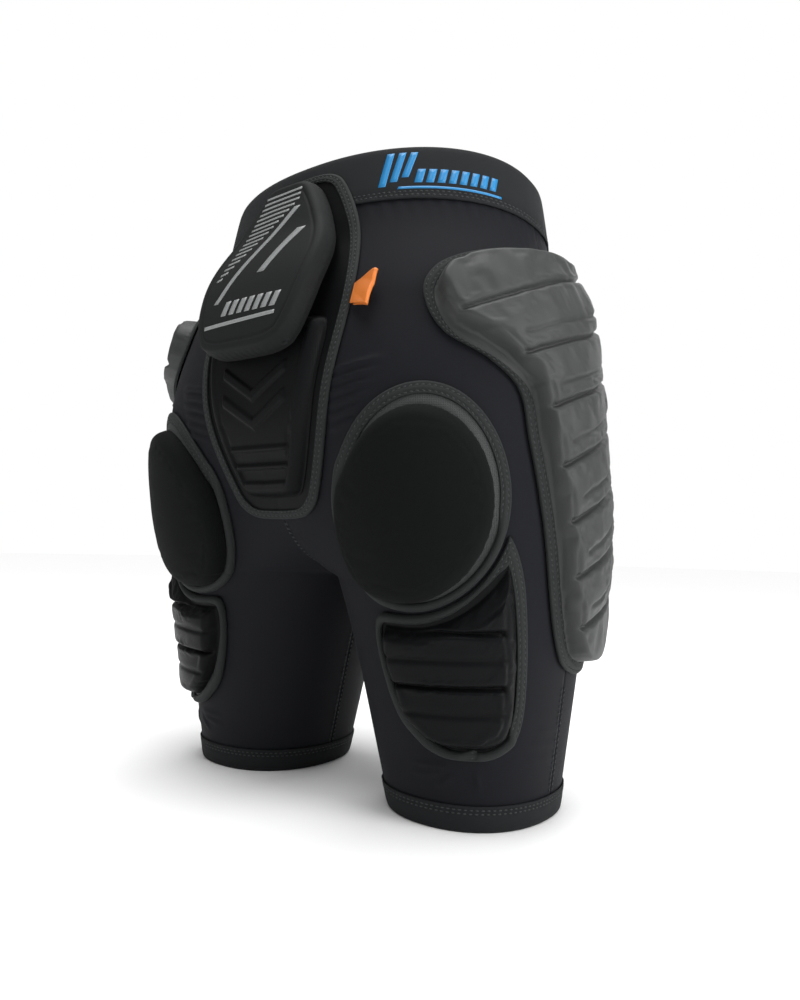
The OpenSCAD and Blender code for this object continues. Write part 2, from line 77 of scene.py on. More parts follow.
# Shell surface -------------------------------------------------------------------------------------

def curve(points, x):
    """The smooth curve through (place, value) pairs."""
    p = np.array(points, float)
    x = np.asarray(x, float)
    k = np.arange(len(p))
    a, b = np.maximum(k - 1, 0), np.minimum(k + 1, len(p) - 1)
    slope = (p[b, 1] - p[a, 1]) / (p[b, 0] - p[a, 0])
    i = np.clip(np.searchsorted(p[:, 0], x, side="right") - 1, 0, len(p) - 2)
    h = p[i + 1, 0] - p[i, 0]
    u = (x - p[i, 0]) / h
    return ((2 * u**3 - 3 * u**2 + 1) * p[i, 1] + (u**3 - 2 * u**2 + u) * h * slope[i]
            + (3 * u**2 - 2 * u**3) * p[i + 1, 1] + (u**3 - u**2) * h * slope[i + 1])


def ease(x):
    x = np.clip(x, 0, 1)
    return x * x * (3 - 2 * x)


def bump(x, width):
    return np.exp(-((x / width) ** 2))


def power(v, e):
    return np.sign(v) * np.abs(v) ** e


def mix(a, b, t):
    return a + (b - a) * t


def lobe_a(z):
    return curve(OUTER_X, z) - curve(LOBE_X, z)


def end_angle(z):
    r = curve(LOBE_X, z) / lobe_a(z)
    open_end = np.degrees(np.arccos(np.clip(-power(r, SQUARE / 2), -1, 1)))
    return np.where((np.asarray(z) <= CROTCH) | (r >= 1), 180.0, open_end)


def on_shell(t, z):
    """Points of the left half: angle 0 at the side, 90 at the back, negative at the front."""
    t, z = np.broadcast_arrays(np.asarray(t, float), np.asarray(z, float))
    back, fore = curve(BACK_Y, z), curve(FRONT_Y, z)
    sin, cos = np.sin(np.radians(t)), np.cos(np.radians(t))
    reach = np.abs(sin) ** (2 / SQUARE)
    climb = np.clip(1 - (z - CROTCH) / BRIDGE, 0, 1)
    over = np.where(z > CROTCH, np.sqrt(1 - climb**2), 0)
    reach = np.where(np.abs(t) > 90, reach + (1 - reach) * over, reach)
    x = np.maximum(0, curve(LOBE_X, z) + lobe_a(z) * power(cos, 2 / SQUARE))
    y = (back + fore) / 2 + np.sign(sin) * reach * (back - fore) / 2
    drop = RIM_DROP * np.clip((z - TILT_Z) / (HEIGHT - TILT_Z), 0, 1)
    return np.stack([x, y - FORWARD, z - drop * (back - y) / (back - fore)], -1)


def shell_normal(t, z):
    t, z = np.broadcast_arrays(np.asarray(t, float), np.asarray(z, float))
    end = np.where(z > CROTCH, end_angle(z) - 1, 200.0)
    near = np.clip(t, -end, end)
    n = np.cross(on_shell(near + 1, z) - on_shell(near - 1, z), on_shell(near, z + 1) - on_shell(near, z - 1))
    n[..., 0] *= np.where(z > CROTCH, ease((end + 1 - np.abs(t)) / 6), 1)
    return n / np.linalg.norm(n, axis=-1, keepdims=True)


def skin(t, z, out):
    return on_shell(t, z) + np.asarray(out, float)[..., None] * shell_normal(t, z)


def mm_per_degree(z):
    b = (curve(BACK_Y, z) - curve(FRONT_Y, z)) / 2
    return math.pi / 180 * np.sqrt((lobe_a(z) ** 2 + b**2) / 2)


def over_side(s, z, out):
    """A point by its distance over the cloth from the side line, and by its height."""
    return skin(s / mm_per_degree(z), z, out)


def back_angle(x, z):
    k = power((np.abs(x) - curve(LOBE_X, z)) / lobe_a(z), SQUARE / 2)
    return np.where(np.abs(x) < 0.001, end_angle(z), np.degrees(np.arccos(np.clip(k, -1, 1))))


def over_back(x, z, out):
    """A point of the back by its distance from the middle, positive to the left, and by its height."""
    p = skin(back_angle(x, z), z, out)
    p[..., 0] *= np.where(np.asarray(x) < 0, -1, 1)
    return p


# Pads: a plan gives the place over the cloth of u and v from -1 to 1, grown by some millimetres. ----

TAIL_TOP, TAIL_H, TAIL_W = HEIGHT - 18, 240, 128
TAIL_MID = TAIL_TOP - TAIL_H / 2
TAIL_EDGE = [(-1, 0.42), (-0.9, 0.56), (-0.42, 0.87), (0.18, 1), (0.6, 0.84), (0.93, 0.55), (1, 0.44)]
TAIL_PAD_LOW, TAIL_PAD_H = TAIL_TOP - TAIL_H + 9, 122
GUARD_TOP, GUARD_H, GUARD_W = TAIL_TOP - 3, 136, 104
GUARD_MID = GUARD_TOP - GUARD_H / 2
GUARD_EDGE = [(-1, 0.72), (-0.9, 0.85), (-0.5, 0.98), (0, 0.99), (0.5, 0.74), (0.92, 0.46), (1, 0.4)]
SEAT_S, SEAT_MID, SEAT_H, SEAT_W, SEAT_LEAN = 121, CROTCH + 53, 134, 106, 7
DOME_W, DOME_H, DOME_IN, DOME_DOWN = 98, 124, 2.6, 4.6
THIGH_OUTER = [(-1, 55), (-0.85, 45), (-0.4, 44), (0.4, 53), (1, 66)]
THIGH_INNER = [(-1, 88), (-0.85, 99), (-0.4, 117), (0.4, 135), (1, 143)]
THIGH_LOW, SEAT_KEEP = 54, 6.5
HIP_REAR = [(-1, -5), (-0.9, 8), (-0.6, 23), (-0.28, 32), (0.07, 41), (0.3, 47), (0.45, 68), (0.62, 100),
            (0.85, 114), (1, 108)]
HIP_FRONT = [(-1, -42), (-0.9, -56), (0, -75), (0.6, -82), (0.9, -74), (1, -62)]
HIP_H = 292
HIP_MID = BAND_Z - 28 - HIP_H / 2
HIP_EASE, HIP_SLOPE = 0.45, 0.26
LEAN_COS, LEAN_SIN = math.cos(math.radians(SEAT_LEAN)), math.sin(math.radians(SEAT_LEAN))


def band_lift(z):
    return 1.5 * ease((z - BAND_Z + 32) / 26)


def tail_plan(u, v, grow):
    return -u * (TAIL_W / 2 * curve(TAIL_EDGE, v) + grow), TAIL_MID + v * (TAIL_H / 2 + grow)


def tail_pad_plan(u, v, grow):
    z = TAIL_PAD_LOW + TAIL_PAD_H / 2 * (1 + v) + v * grow
    return -u * (TAIL_W / 2 * curve(TAIL_EDGE, (z - TAIL_MID) / (TAIL_H / 2)) - 7 + grow), z


def guard_plan(u, v, grow):
    return -u * (GUARD_W / 2 * curve(GUARD_EDGE, v) + grow), GUARD_MID + v * (GUARD_H / 2 + grow)


def leaning_oval(wide, high, inwards=0, down=0):
    """The plan of an oval that leans on the seat, moved by some millimetres."""
    def plan(u, v, grow):
        p = u * np.sqrt(1 - v * v / 2) * (wide / 2 + grow) + inwards
        q = v * np.sqrt(1 - u * u / 2) * (high / 2 + grow) - down
        return SEAT_S + p * LEAN_COS - q * LEAN_SIN, SEAT_MID + p * LEAN_SIN + q * LEAN_COS
    return plan


def under_seat(s):
    """Height of the lower edge of the seat oval, with room for its binding."""
    a, b = SEAT_W / 2 + SEAT_KEEP, SEAT_H / 2 + SEAT_KEEP
    c, n = LEAN_COS, LEAN_SIN
    reach = 0.97 * math.sqrt(a * a * c * c + b * b * n * n)
    d = np.clip(s - SEAT_S, -reach, reach)
    qa = n * n / (a * a) + c * c / (b * b)
    qb = 2 * d * c * n * (1 / (a * a) - 1 / (b * b))
    qc = d * d * (c * c / (a * a) + n * n / (b * b)) - 1
    return SEAT_MID - (qb + np.sqrt(qb * qb - 4 * qa * qc)) / (2 * qa)


def thigh_plan(u, v, grow):
    s = mix(curve(THIGH_OUTER, v) - grow, curve(THIGH_INNER, v) + grow, (u + 1) / 2)
    return s, mix(THIGH_LOW - grow, under_seat(s) - SEAT_KEEP + grow, (v + 1) / 2)


def hip_plan(u, v, grow):
    s = mix(curve(HIP_FRONT, v) - grow, curve(HIP_REAR, v) + grow, (u + 1) / 2)
    return s, HIP_MID + v * (HIP_H / 2 + grow) - HIP_SLOPE * (0.6 + 0.4 * v) * s


def tail_lay(x, z, out):
    return over_back(x, z, out + band_lift(z))


def guard_lay(x, z, out):
    v = (z - GUARD_MID) / (GUARD_H / 2)
    return over_back(x, z, out + band_lift(z) + mix(1.2, 13.5, ease((1 - v) / 1.7)))


def hip_lay(s, z, out):
    return over_side(s, z, out + HIP_EASE)


def rounded(u, v, half, radius):
    """Rounds the corners of the square from -1 to 1 for a pad of these half sizes."""
    a, b = half
    w = np.abs(u) ** (1.56 * a / radius) * np.abs(v) ** (1.56 * b / radius)
    return u * (1 - 0.3 * radius / a * w), v * (1 - 0.3 * radius / b * w)


class Pad:
    """One sewn pad: its outline over the cloth and how it lies on the shell."""

    def __init__(self, plan, lay, half, radius, edge=5.5):
        self.plan, self.lay, self.half, self.radius, self.edge = plan, lay, half, radius, edge

    def spot(self, u, v, grow):
        if self.radius:
            u, v = rounded(u, v, (self.half[0] + grow, self.half[1] + grow), self.radius + grow)
        return self.plan(u, v, grow)

    def loop(self, grow, step):
        """Places round the outline, evenly spaced and closed, for grow millimetres outside it."""
        k = np.linspace(-1, 1, 400, endpoint=False)
        one = np.ones_like(k)
        u = np.concatenate([k, one, -k, -one])
        v = np.concatenate([-one, k, one, -k])
        p = self.lay(*self.spot(u, v, grow), np.ones_like(u))
        along = running(np.linalg.norm(np.roll(p, -1, 0) - p, axis=1))
        at = np.arange(round(along[-1] / step)) * along[-1] / round(along[-1] / step)
        return [np.interp(at, along, np.append(w, w[0])) for w in (u, v)], along[-1]


TAIL = Pad(tail_plan, tail_lay, (50, 120), 13)
TAIL_PAD = Pad(tail_pad_plan, tail_lay, (48, 61), 12)
GUARD = Pad(guard_plan, guard_lay, (42, 68), 15)
SEAT = Pad(leaning_oval(SEAT_W, SEAT_H), over_side, (53, 67), 0)
DOME = Pad(leaning_oval(DOME_W, DOME_H, DOME_IN, DOME_DOWN), over_side, (48, 61), 0)
THIGH = Pad(thigh_plan, over_side, (38, 60), 12)
HIP = Pad(hip_plan, hip_lay, (55, 146), 17)


# Mesh work -----------------------------------------------------------------------------------------

STUFFED = {}
STUFF_FRAMES, HELD_EDGE, HELD_GROOVE = 20, 10.5, 0.45


def closed_patch(columns, rows):
    """A flat closed patch, one unit thick, ready to be laid on the shell."""
    bm = bmesh.new()
    bmesh.ops.create_grid(bm, x_segments=columns, y_segments=rows, size=1)
    made = bmesh.ops.extrude_face_region(bm, geom=bm.verts[:] + bm.edges[:] + bm.faces[:], use_keep_orig=True)
    bmesh.ops.translate(bm, vec=(0, 0, 1), verts=[g for g in made["geom"] if isinstance(g, bmesh.types.BMVert)])
    bmesh.ops.recalc_face_normals(bm, faces=bm.faces)
    return bm


def flat_places(bm):
    co = np.array([v.co for v in bm.verts], float)
    return co[:, 0], co[:, 1], co[:, 2] > 0.5


def put(bm, points, side=LEFT):
    """Puts a bmesh's points, given in millimetres for the left side, in their place in metres."""
    for vert, point in zip(bm.verts, points * (side * MM, MM, MM)):
        vert.co = point


def path_on(lay, a, b, out, flip=LEFT):
    """A path over the cloth, in metres, and the ways out from it."""
    base, up = (lay(a, b, np.full(len(a), out + k)) for k in (0.0, 1.0))
    return base * MM * (flip, 1, 1), (up - base) * (flip, 1, 1)


def turn_faces(bm, side):
    if side == RIGHT:
        bmesh.ops.reverse_faces(bm, faces=bm.faces)


def mesh_of(bm, name):
    mesh = bpy.data.meshes.new(name)
    bm.to_mesh(mesh)
    bm.free()
    return mesh


def running(steps, first=0):
    """Distances along a path from the lengths of its steps."""
    return np.concatenate([[first], np.cumsum(steps)])


def paint(mesh, name, values):
    layer = mesh.attributes.new(name, "FLOAT", "POINT")
    layer.data.foreach_set("value", np.asarray(values, np.float32))


def spread_uv(mesh, places):
    """The piece's cloth map: centimetres over the cloth."""
    corner = np.zeros(len(mesh.loops), np.int32)
    mesh.loops.foreach_get("vertex_index", corner)
    layer = mesh.uv_layers.new(name="cloth")
    layer.uv.foreach_set("vector", (places[corner] * 0.1).astype(np.float32).ravel())


def piece(name, bm, look, body="shorts", stands_for=(), places=None, marks=None):
    """Makes the finished piece of a bmesh: smooth, with its look, its ride and what it stands for."""
    mesh = mesh_of(bm, name)
    mesh.polygons.foreach_set("use_smooth", np.ones(len(mesh.polygons), bool))
    mesh.materials.append(look)
    if places is not None:
        spread_uv(mesh, np.stack(places, 1))
    for mark, values in (marks or {}).items():
        paint(mesh, mark, values)
    obj = bpy.data.objects.new(name, mesh)
    bpy.context.scene.collection.objects.link(obj)
    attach(obj, body)
    if stands_for:
        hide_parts(*stands_for)
    return obj


def edge_distance(pad, s, z, grow):
    """How far each place is from the pad's outer edge."""
    (u, v), _ = pad.loop(grow, 0.7)
    rim = pad.lay(*pad.spot(u, v, grow), np.ones_like(u))
    tree = KDTree(len(rim))
    for i, p in enumerate(rim):
        tree.insert(p, i)
    tree.balance()
    return np.array([tree.find(p)[2] for p in pad.lay(s, z, np.ones_like(s))])


def shaped(pad, shape, size, grow):
    """A flat closed patch for a pad, with the height of each of its places and its groove mark, which also sets
    the painted shade.
    """
    bm = closed_patch(*size)
    u, v, top = flat_places(bm)
    s, z = pad.spot(u, v, grow)
    d = edge_distance(pad, s, z, grow)
    return bm, u, v, top, s, z, d, *shape(s, z, d, u)


def stuff(pad, shape, size, grow, cap):
    """Blows up a coarse copy of a pad as cloth, held at its border and grooves, and keeps how far it moved.

    The pad lies flat for this. The movement is in millimetres along, up and out, on a grid of u and v."""
    key = (id(pad), size)
    if not cap:
        return np.zeros((size[0] + 1, size[1] + 1, 3))
    if key in STUFFED:
        return STUFFED[key]
    bm, u, v, top, s, z, d, height, groove_and_shade = shaped(pad, shape, size, grow)
    rest = np.stack([s, np.where(top, -height, 0), z], 1)
    put(bm, rest)
    bmesh.ops.recalc_face_normals(bm, faces=bm.faces)
    mesh = mesh_of(bm, "stuffing")
    obj = bpy.data.objects.new("stuffing", mesh)
    scene = bpy.context.scene
    scene.collection.objects.link(obj)
    held = obj.vertex_groups.new(name="held")
    fixed = ~top | (d < HELD_EDGE) | (groove_and_shade > HELD_GROOVE)
    held.add([int(i) for i in np.flatnonzero(fixed)], 1.0, "REPLACE")
    cloth = obj.modifiers.new("cloth", "CLOTH")
    rules = cloth.settings
    rules.quality, rules.mass, rules.bending_stiffness = 6, 0.2, 3
    rules.tension_stiffness = rules.compression_stiffness = 12
    rules.shear_stiffness = 4
    rules.shrink_min = -0.02
    rules.use_pressure, rules.uniform_pressure_force = True, 4
    rules.effector_weights.gravity = 0
    rules.vertex_group_mass = "held"
    cloth.collision_settings.use_collision = False
    cloth.point_cache.frame_start, cloth.point_cache.frame_end = 1, STUFF_FRAMES
    for step in range(1, STUFF_FRAMES + 1):
        scene.frame_set(step)
    done = obj.evaluated_get(bpy.context.evaluated_depsgraph_get())
    co = np.zeros(len(rest) * 3)
    done.data.vertices.foreach_get("co", co)
    move = co.reshape(-1, 3) / MM - rest
    reach = np.maximum(np.linalg.norm(move, axis=1, keepdims=True), 1e-6)
    move *= cap * np.tanh(reach / cap) / reach
    bpy.data.objects.remove(obj)
    bpy.data.meshes.remove(mesh)
    scene.frame_set(1)
    moved = np.zeros((size[0] + 1, size[1] + 1, 3))
    i, j = (np.round((k[top] + 1) / 2 * n).astype(int) for k, n in zip((u, v), size))
    moved[i, j] = move[top] * (1, 1, -1)
    moved[..., 1:] = moved[..., [2, 1]] * (-1, -1)
    STUFFED[key] = moved
    return moved


def between(grid, u, v):
    """Values of a grid over u and v, blended between its points."""
    a, b = (u + 1) / 2 * (grid.shape[0] - 1), (v + 1) / 2 * (grid.shape[1] - 1)
    i, j = np.minimum(a.astype(int), grid.shape[0] - 2), np.minimum(b.astype(int), grid.shape[1] - 2)
    a, b = (a - i)[:, None], (b - j)[:, None]
    return ((grid[i, j] * (1 - a) + grid[i + 1, j] * a) * (1 - b)
            + (grid[i, j + 1] * (1 - a) + grid[i + 1, j + 1] * a) * b)


def make_pad(name, pad, size, shape, look, side, stands_for, body="shorts", floor=0.75, grow=None,
             coarse=(36, 90), cap=0.0):
    """A closed pad whose top follows shape(s, z, d, u), with d the distance from its outer edge."""
    grow = pad.edge if grow is None else grow
    moved = stuff(pad, shape, coarse, grow, cap)
    bm, u, v, top, s, z, _, height, groove_and_shade = shaped(pad, shape, size, grow)
    sway = between(moved, u, v) * top[:, None]
    s, z, height = s + sway[:, 0], z + sway[:, 1], height + sway[:, 2]
    put(bm, pad.lay(s, z, np.where(top, np.maximum(height, floor + 0.3), floor)), side)
    turn_faces(bm, side)
    # The groove mark goes on the pad's points; the look paints shade where it is high.
    obj = piece(name, bm, look, body, stands_for, (s, z), {"groove_and_shade": np.where(top, groove_and_shade, 0)})
    return obj


def closed_ring(stations, section):
    """A ring of a closed section, as a grid rolled up both ways. stations and section count its points."""
    bm = bmesh.new()
    bmesh.ops.create_grid(bm, x_segments=stations, y_segments=section, size=0.5)
    co = np.array([v.co for v in bm.verts], float)
    i = np.round((co[:, 0] + 0.5) * stations).astype(int)
    j = np.round((co[:, 1] + 0.5) * section).astype(int)
    return bm, i, j


def ring_piece(name, points, look, side, body, stands_for, places, groove_and_shade=None):
    """A closed ring piece from points[station][section place], in millimetres for the left side."""
    n, k = points.shape[:2]
    bm, i, j = closed_ring(n, k)
    put(bm, points[i % n, j % k], side)
    layer = bm.loops.layers.uv.new("cloth")
    along = places[0][i % n] + places[2] * (i == n)
    across = places[1][j % k] + places[3] * (j == k)
    uv = np.stack([along, across], 1) * 0.1
    for face in bm.faces:
        for corner in face.loops:
            corner[layer].uv = uv[corner.vert.index]
    # Each section place carries a painted shade value for the look.
    if groove_and_shade is not None:
        mark = bm.verts.layers.float.new("groove_and_shade")
        for vert, value in zip(bm.verts, groove_and_shade[j % k]):
            vert[mark] = value
    bmesh.ops.remove_doubles(bm, verts=bm.verts, dist=2e-6)
    bmesh.ops.recalc_face_normals(bm, faces=bm.faces)
    return piece(name, bm, look, body, stands_for)


MARK_STEP, MARK_HEIGHTS = 2.5, (0.16, -0.25)


def tree_of(obj):
    bm = bmesh.new()
    bm.from_mesh(obj.data)
    tree = BVHTree.FromBMesh(bm)
    bm.free()
    return tree


def cling(points, normals, tree, reach=0.03):
    """Moves points, in metres, along their normals onto the surface in tree."""
    found = []
    for p, n in zip(points, normals):
        p, n = Vector(p), Vector(n)
        hit = tree.ray_cast(p + n * reach, -n, 2 * reach)[0]
        found.append(p if hit is None else hit)
    return np.array(found)


def join(bm, mesh):
    """Adds a mesh to a bmesh and removes it."""
    bm.from_mesh(mesh)
    bpy.data.meshes.remove(mesh)


HALF_STEP = 5e-4


def sew(bm, path, normals, sizes, slant=0.0, closed=True):
    """Adds a row of stitches along a path in metres. Each is a small spindle of thread."""
    length, wide = sizes.stitch_length, sizes.thread_width
    step = length + sizes.stitch_gap
    ends = np.vstack([path, path[:1]]) if closed else path
    outs = np.vstack([normals, normals[:1]]) if closed else normals
    along = running(np.linalg.norm(np.diff(ends, axis=0), axis=1))
    count = max(1, int(along[-1] / step))
    row = bmesh.new()

    def at(d, values):
        return Vector([np.interp(d, along, values[:, k]) for k in range(3)])

    for d in (np.arange(count) + 0.5) * along[-1] / count:
        p, n = at(d, ends), at(d, outs).normalized()
        t = (at(min(d + HALF_STEP, along[-1]), ends) - at(max(d - HALF_STEP, 0), ends)).normalized()
        b = n.cross(t).normalized()
        t = (t * math.cos(slant) + b * math.sin(slant)).normalized()
        turn = Matrix([t, n.cross(t), n]).transposed().to_4x4()
        turn = Matrix.Translation(p) @ turn @ Matrix.Diagonal((length / 2, wide / 2, wide * 0.4, 1))
        bmesh.ops.create_icosphere(row, subdivisions=1, radius=1, matrix=turn)
    join(bm, mesh_of(row, "row"))


# Node groups and looks -----------------------------------------------------------------------------

class Nodes:
    """Short ways to place and link shader nodes in one tree."""

    def __init__(self, tree):
        self.tree = tree

    def add(self, kind, inputs=None, **values):
        """A new node. Each of its inputs is given a value, or the socket that feeds it."""
        node = self.tree.nodes.new(kind)
        for key, value in values.items():
            setattr(node, key, value)
        for key, value in (inputs or {}).items():
            if isinstance(value, bpy.types.NodeSocket):
                self.tree.links.new(value, node.inputs[key])
            else:
                node.inputs[key].default_value = value
        return node

    def math(self, operation, *values):
        return self.add("ShaderNodeMath", dict(enumerate(values)), operation=operation).outputs[0]

    def noise(self, vector, scale, detail=2.0, rough=0.5):
        return self.add("ShaderNodeTexNoise", {"Vector": vector, "Scale": scale, "Detail": detail,
                                               "Roughness": rough}).outputs["Fac"]


def group(name, inputs, outputs, build):
    """A shader node group with named sockets, built once. build gives what goes to each output."""
    if name in bpy.data.node_groups:
        return bpy.data.node_groups[name]
    tree = bpy.data.node_groups.new(name, "ShaderNodeTree")
    for label, kind, value in inputs:
        socket = tree.interface.new_socket(label, in_out="INPUT", socket_type="NodeSocket" + kind)
        if value is not None:
            socket.default_value = value
    for label, kind in outputs:
        tree.interface.new_socket(label, in_out="OUTPUT", socket_type="NodeSocket" + kind)
    n = Nodes(tree)
    n.add("NodeGroupOutput", build(n, n.add("NodeGroupInput").outputs))
    return tree


def over_cloth(n, given, across=1.0, along=1.0):
    """The two ways over the cloth, counted in loops."""
    split = n.add("ShaderNodeSeparateXYZ", {0: given["Place"]})
    return [n.math("MULTIPLY", split.outputs[k], n.math("MULTIPLY", given["Loops"], share))
            for k, share in enumerate((across, along))]


def build_knit(n, given):
    """Rows of small V stitches, as on jersey."""
    x, y = over_cloth(n, given, along=0.72)
    part = n.math("FRACT", x)
    lean = n.math("MULTIPLY", n.math("ABSOLUTE", n.math("SUBTRACT", part, 0.5)), 1.3)
    rib = n.math("SINE", n.math("MULTIPLY", part, math.pi))
    wave = n.math("SINE", n.math("MULTIPLY", n.math("ADD", y, lean), 2 * math.pi))
    return {"Height": n.math("MULTIPLY", n.math("POWER", rib, 0.6), n.math("MULTIPLY_ADD", wave, 0.35, 0.65))}


def build_twill(n, given):
    """Slanting fine ribs, as on tape and woven labels."""
    x, y = over_cloth(n, given)
    rib = n.math("SINE", n.math("MULTIPLY", n.math("ADD", x, n.math("MULTIPLY", y, 0.6)), 2 * math.pi))
    cross = n.math("SINE", n.math("MULTIPLY", n.math("SUBTRACT", y, n.math("MULTIPLY", x, 0.25)), 2 * math.pi))
    return {"Height": n.math("MULTIPLY_ADD", n.math("MULTIPLY", rib, cross), 0.5, 0.5)}


def build_holes(n, given):
    """Round holes in staggered rows, as on spacer mesh. Height is 0 in a hole."""
    x, y = over_cloth(n, given, math.pi, math.pi)
    a, b = n.math("SINE", n.math("ADD", x, y)), n.math("SINE", n.math("SUBTRACT", x, y))
    dots = n.math("MULTIPLY_ADD", n.math("MULTIPLY", a, b), 0.5, 0.5)
    return {"Height": n.add("ShaderNodeMapRange", {"Value": dots, "From Min": 0.2, "From Max": 0.55},
                            interpolation_type="SMOOTHSTEP").outputs[0]}


WEAVES = {"knit": build_knit, "twill": build_twill, "holes": build_holes}


def build_shade(n, given):
    """Colour of the cloth: uneven dye, loose fibres, lighter on the thread tops than between them, and painted
    shade in the grooves.
    """
    large = n.math("SUBTRACT", n.noise(given["Point"], 9.0, 3.0, 0.55), 0.5)
    fibres = n.math("SUBTRACT", n.noise(given["Point"], 1100.0, 2.0, 0.7), 0.5)
    uneven = n.math("MULTIPLY", large, given["Uneven"])
    fuzz = n.math("MULTIPLY", fibres, given["Fibres"])
    lift = n.math("ADD", n.math("ADD", uneven, fuzz), n.math("MULTIPLY_ADD", given["Weave"], 0.22, -0.11))
    # Painted shade: the colour darkens where the groove mark is high, in grooves, creases, folds and tape dents.
    lift = n.math("SUBTRACT", lift, n.math("MULTIPLY", given["Groove"], 0.4))
    share = n.add("ShaderNodeMapRange", {"Value": lift, "From Min": -1.0, "From Max": 1.0}, clamp=True)
    colour = n.add("ShaderNodeMix", {0: share.outputs[0], 6: given["Dark"], 7: given["Light"]}, data_type="RGBA")
    rough = n.math("ADD", given["Rough"], n.math("MULTIPLY", large, 0.16))
    return {"Colour": colour.outputs[2], "Roughness": n.math("MINIMUM", n.math("MAXIMUM", rough, 0.05), 1.0)}


def look(name, colour, rough=0.75, loops=14.0, weave="knit", depth=0.35, uneven=0.35, fibres=0.35, sheen=0.075,
         dull=0.55, bright=1.6, uv=True, specular=0.5):
    """A cloth or moulded material made of a weave, its colour with uneven tone and painted shade, and a soft bump.
    """
    if name in bpy.data.materials:
        return bpy.data.materials[name]
    pattern = group("weave_" + weave, [("Place", "Vector", None), ("Loops", "Float", 10.0)],
                    [("Height", "Float")], WEAVES[weave])
    shade = group("cloth_tone_and_shade", [
        ("Point", "Vector", None), ("Weave", "Float", 0.5), ("Groove", "Float", 0.0), ("Dark", "Color", None),
        ("Light", "Color", None), ("Uneven", "Float", 0.3), ("Fibres", "Float", 0.3), ("Rough", "Float", 0.7),
    ], [("Colour", "Color"), ("Roughness", "Float")], build_shade)
    material = bpy.data.materials.new(name)
    material.use_nodes = True
    material.node_tree.nodes.clear()
    material.diffuse_color = (*colour, 1)
    n = Nodes(material.node_tree)
    point = n.add("ShaderNodeTexCoord").outputs["Object"]
    if uv:
        place = n.add("ShaderNodeUVMap", uv_map="cloth").outputs[0]
        # The groove mark sets the painted shade in the colour.
        marks = {"Groove": n.add("ShaderNodeAttribute", attribute_name="groove_and_shade").outputs["Fac"]}
    else:
        place = n.add("ShaderNodeVectorMath", {0: point, "Scale": 100.0}, operation="SCALE").outputs[0]
        marks = {}
    threads = n.add("ShaderNodeGroup", {"Loops": loops, "Place": place}, node_tree=pattern).outputs["Height"]
    tone_and_shade = n.add("ShaderNodeGroup", {
        "Point": point, "Weave": threads, "Dark": (*(c * dull for c in colour), 1),
        "Light": (*(c * bright for c in colour), 1), "Uneven": uneven, "Fibres": fibres, "Rough": rough, **marks,
    }, node_tree=shade).outputs
    raised = n.add("ShaderNodeBump", {"Strength": depth, "Distance": 0.0003, "Height": threads})
    shader = n.add("ShaderNodeBsdfPrincipled", {
        "Base Color": tone_and_shade["Colour"], "Roughness": tone_and_shade["Roughness"], "Normal": raised.outputs[0],
        "Sheen Weight": sheen, "Sheen Roughness": 0.45, "Specular IOR Level": specular})
    n.add("ShaderNodeOutputMaterial", {0: shader.outputs[0]})
    return material


def cloth_looks():
    """All materials of the shorts, by the maker's name of each finish."""
    c = bpy.context.scene.shorts_colours
    print_ = {"uneven": 0.2, "fibres": 0.15, "sheen": 0, "dull": 0.8, "bright": 1.2}
    return {
        "shell": look("shell_knit", c.shell, 0.72, 15, "knit", 0.3, sheen=0.01, specular=0.14),
        "band": look("band_knit", c.band, 0.8, 12, "twill", 0.35, sheen=0.0125, specular=0.2),
        "hip": look("hip_satin", c.hip_cover, 0.5, 17, "knit", 0.3, 0.3, sheen=0.0375, bright=1.5, specular=0.4),
        "pad": look("pad_cover", c.pad_cover, 0.42, 16, "knit", 0.22, 0.3, sheen=0.005, specular=0.07),
        "dome": look("dome_cloth", c.dome, 0.85, 11, "twill", 0.4, 0.5, 0.6, 0.0125, specular=0.1),
        "mesh": look("flange_mesh", c.mesh, 0.7, 7, "holes", 0.8, bright=2.2, dull=0.3, sheen=0.025),
        "tape": look("binding_tape", c.tape, 0.7, 9, "twill", 0.6, sheen=0.025, specular=0.25),
        "thread": look("sewing_thread", c.thread, 0.6, 30, "twill", 0.3, uv=False, sheen=0.025, specular=0.3),
        "guard": look("guard_knit", c.guard, 0.72, 18, "knit", 0.18, 0.25, sheen=0.0075, specular=0.18),
        "print": look("pale_print", c.pale_print, 0.45, 18, "knit", 0.1, **print_),
        "motif": look("blue_print", c.motif, 0.45, 14, "knit", 0.12, **print_),
        "tag": look("ribbon_weave", c.tag, 0.4, 12, "twill", 0.45, 0.25, 0.2, 0.05, 0.7, 1.3),
        "elastic": look("waist_elastic", c.elastic, 0.8, 8, "twill", 0.8, uv=False),
        "silicone": look("hem_silicone", c.silicone, 0.3, 6, "twill", 0.3, uv=False, sheen=0.0),
    }


# Operators -----------------------------------------------------------------------------------------

def length_property(name, description, value):
    return FloatProperty(name=name, description=description, default=value, unit="LENGTH", precision=5)


def height_property(name, description, value):
    return FloatProperty(name=name, description=description + ", in millimetres", default=value)


class Sizes(bpy.types.PropertyGroup):
    """Sizes of the sewing and of the moulded relief."""

    stitch_length: length_property("Stitch length", "Length of one stitch", 0.0026)
    stitch_gap: length_property("Stitch gap", "Gap between two stitches", 0.0012)
    thread_width: length_property("Thread width", "Thickness of the sewing thread", 0.0011)
    groove_depth: height_property("Groove depth", "Depth of the moulded grooves", 3.4)
    puff: height_property("Rib height", "How far each rib swells between grooves", 2.1)
    fold_height: height_property("Fold height", "Height of the tension folds", 2.4)
    stripes: IntProperty(name="Stripes", description="Number of printed stripes on the guard", default=17)


def colour_property(name, description, value):
    return FloatVectorProperty(name=name, description=description, default=value, subtype="COLOR", size=3,
                               min=0, max=1)


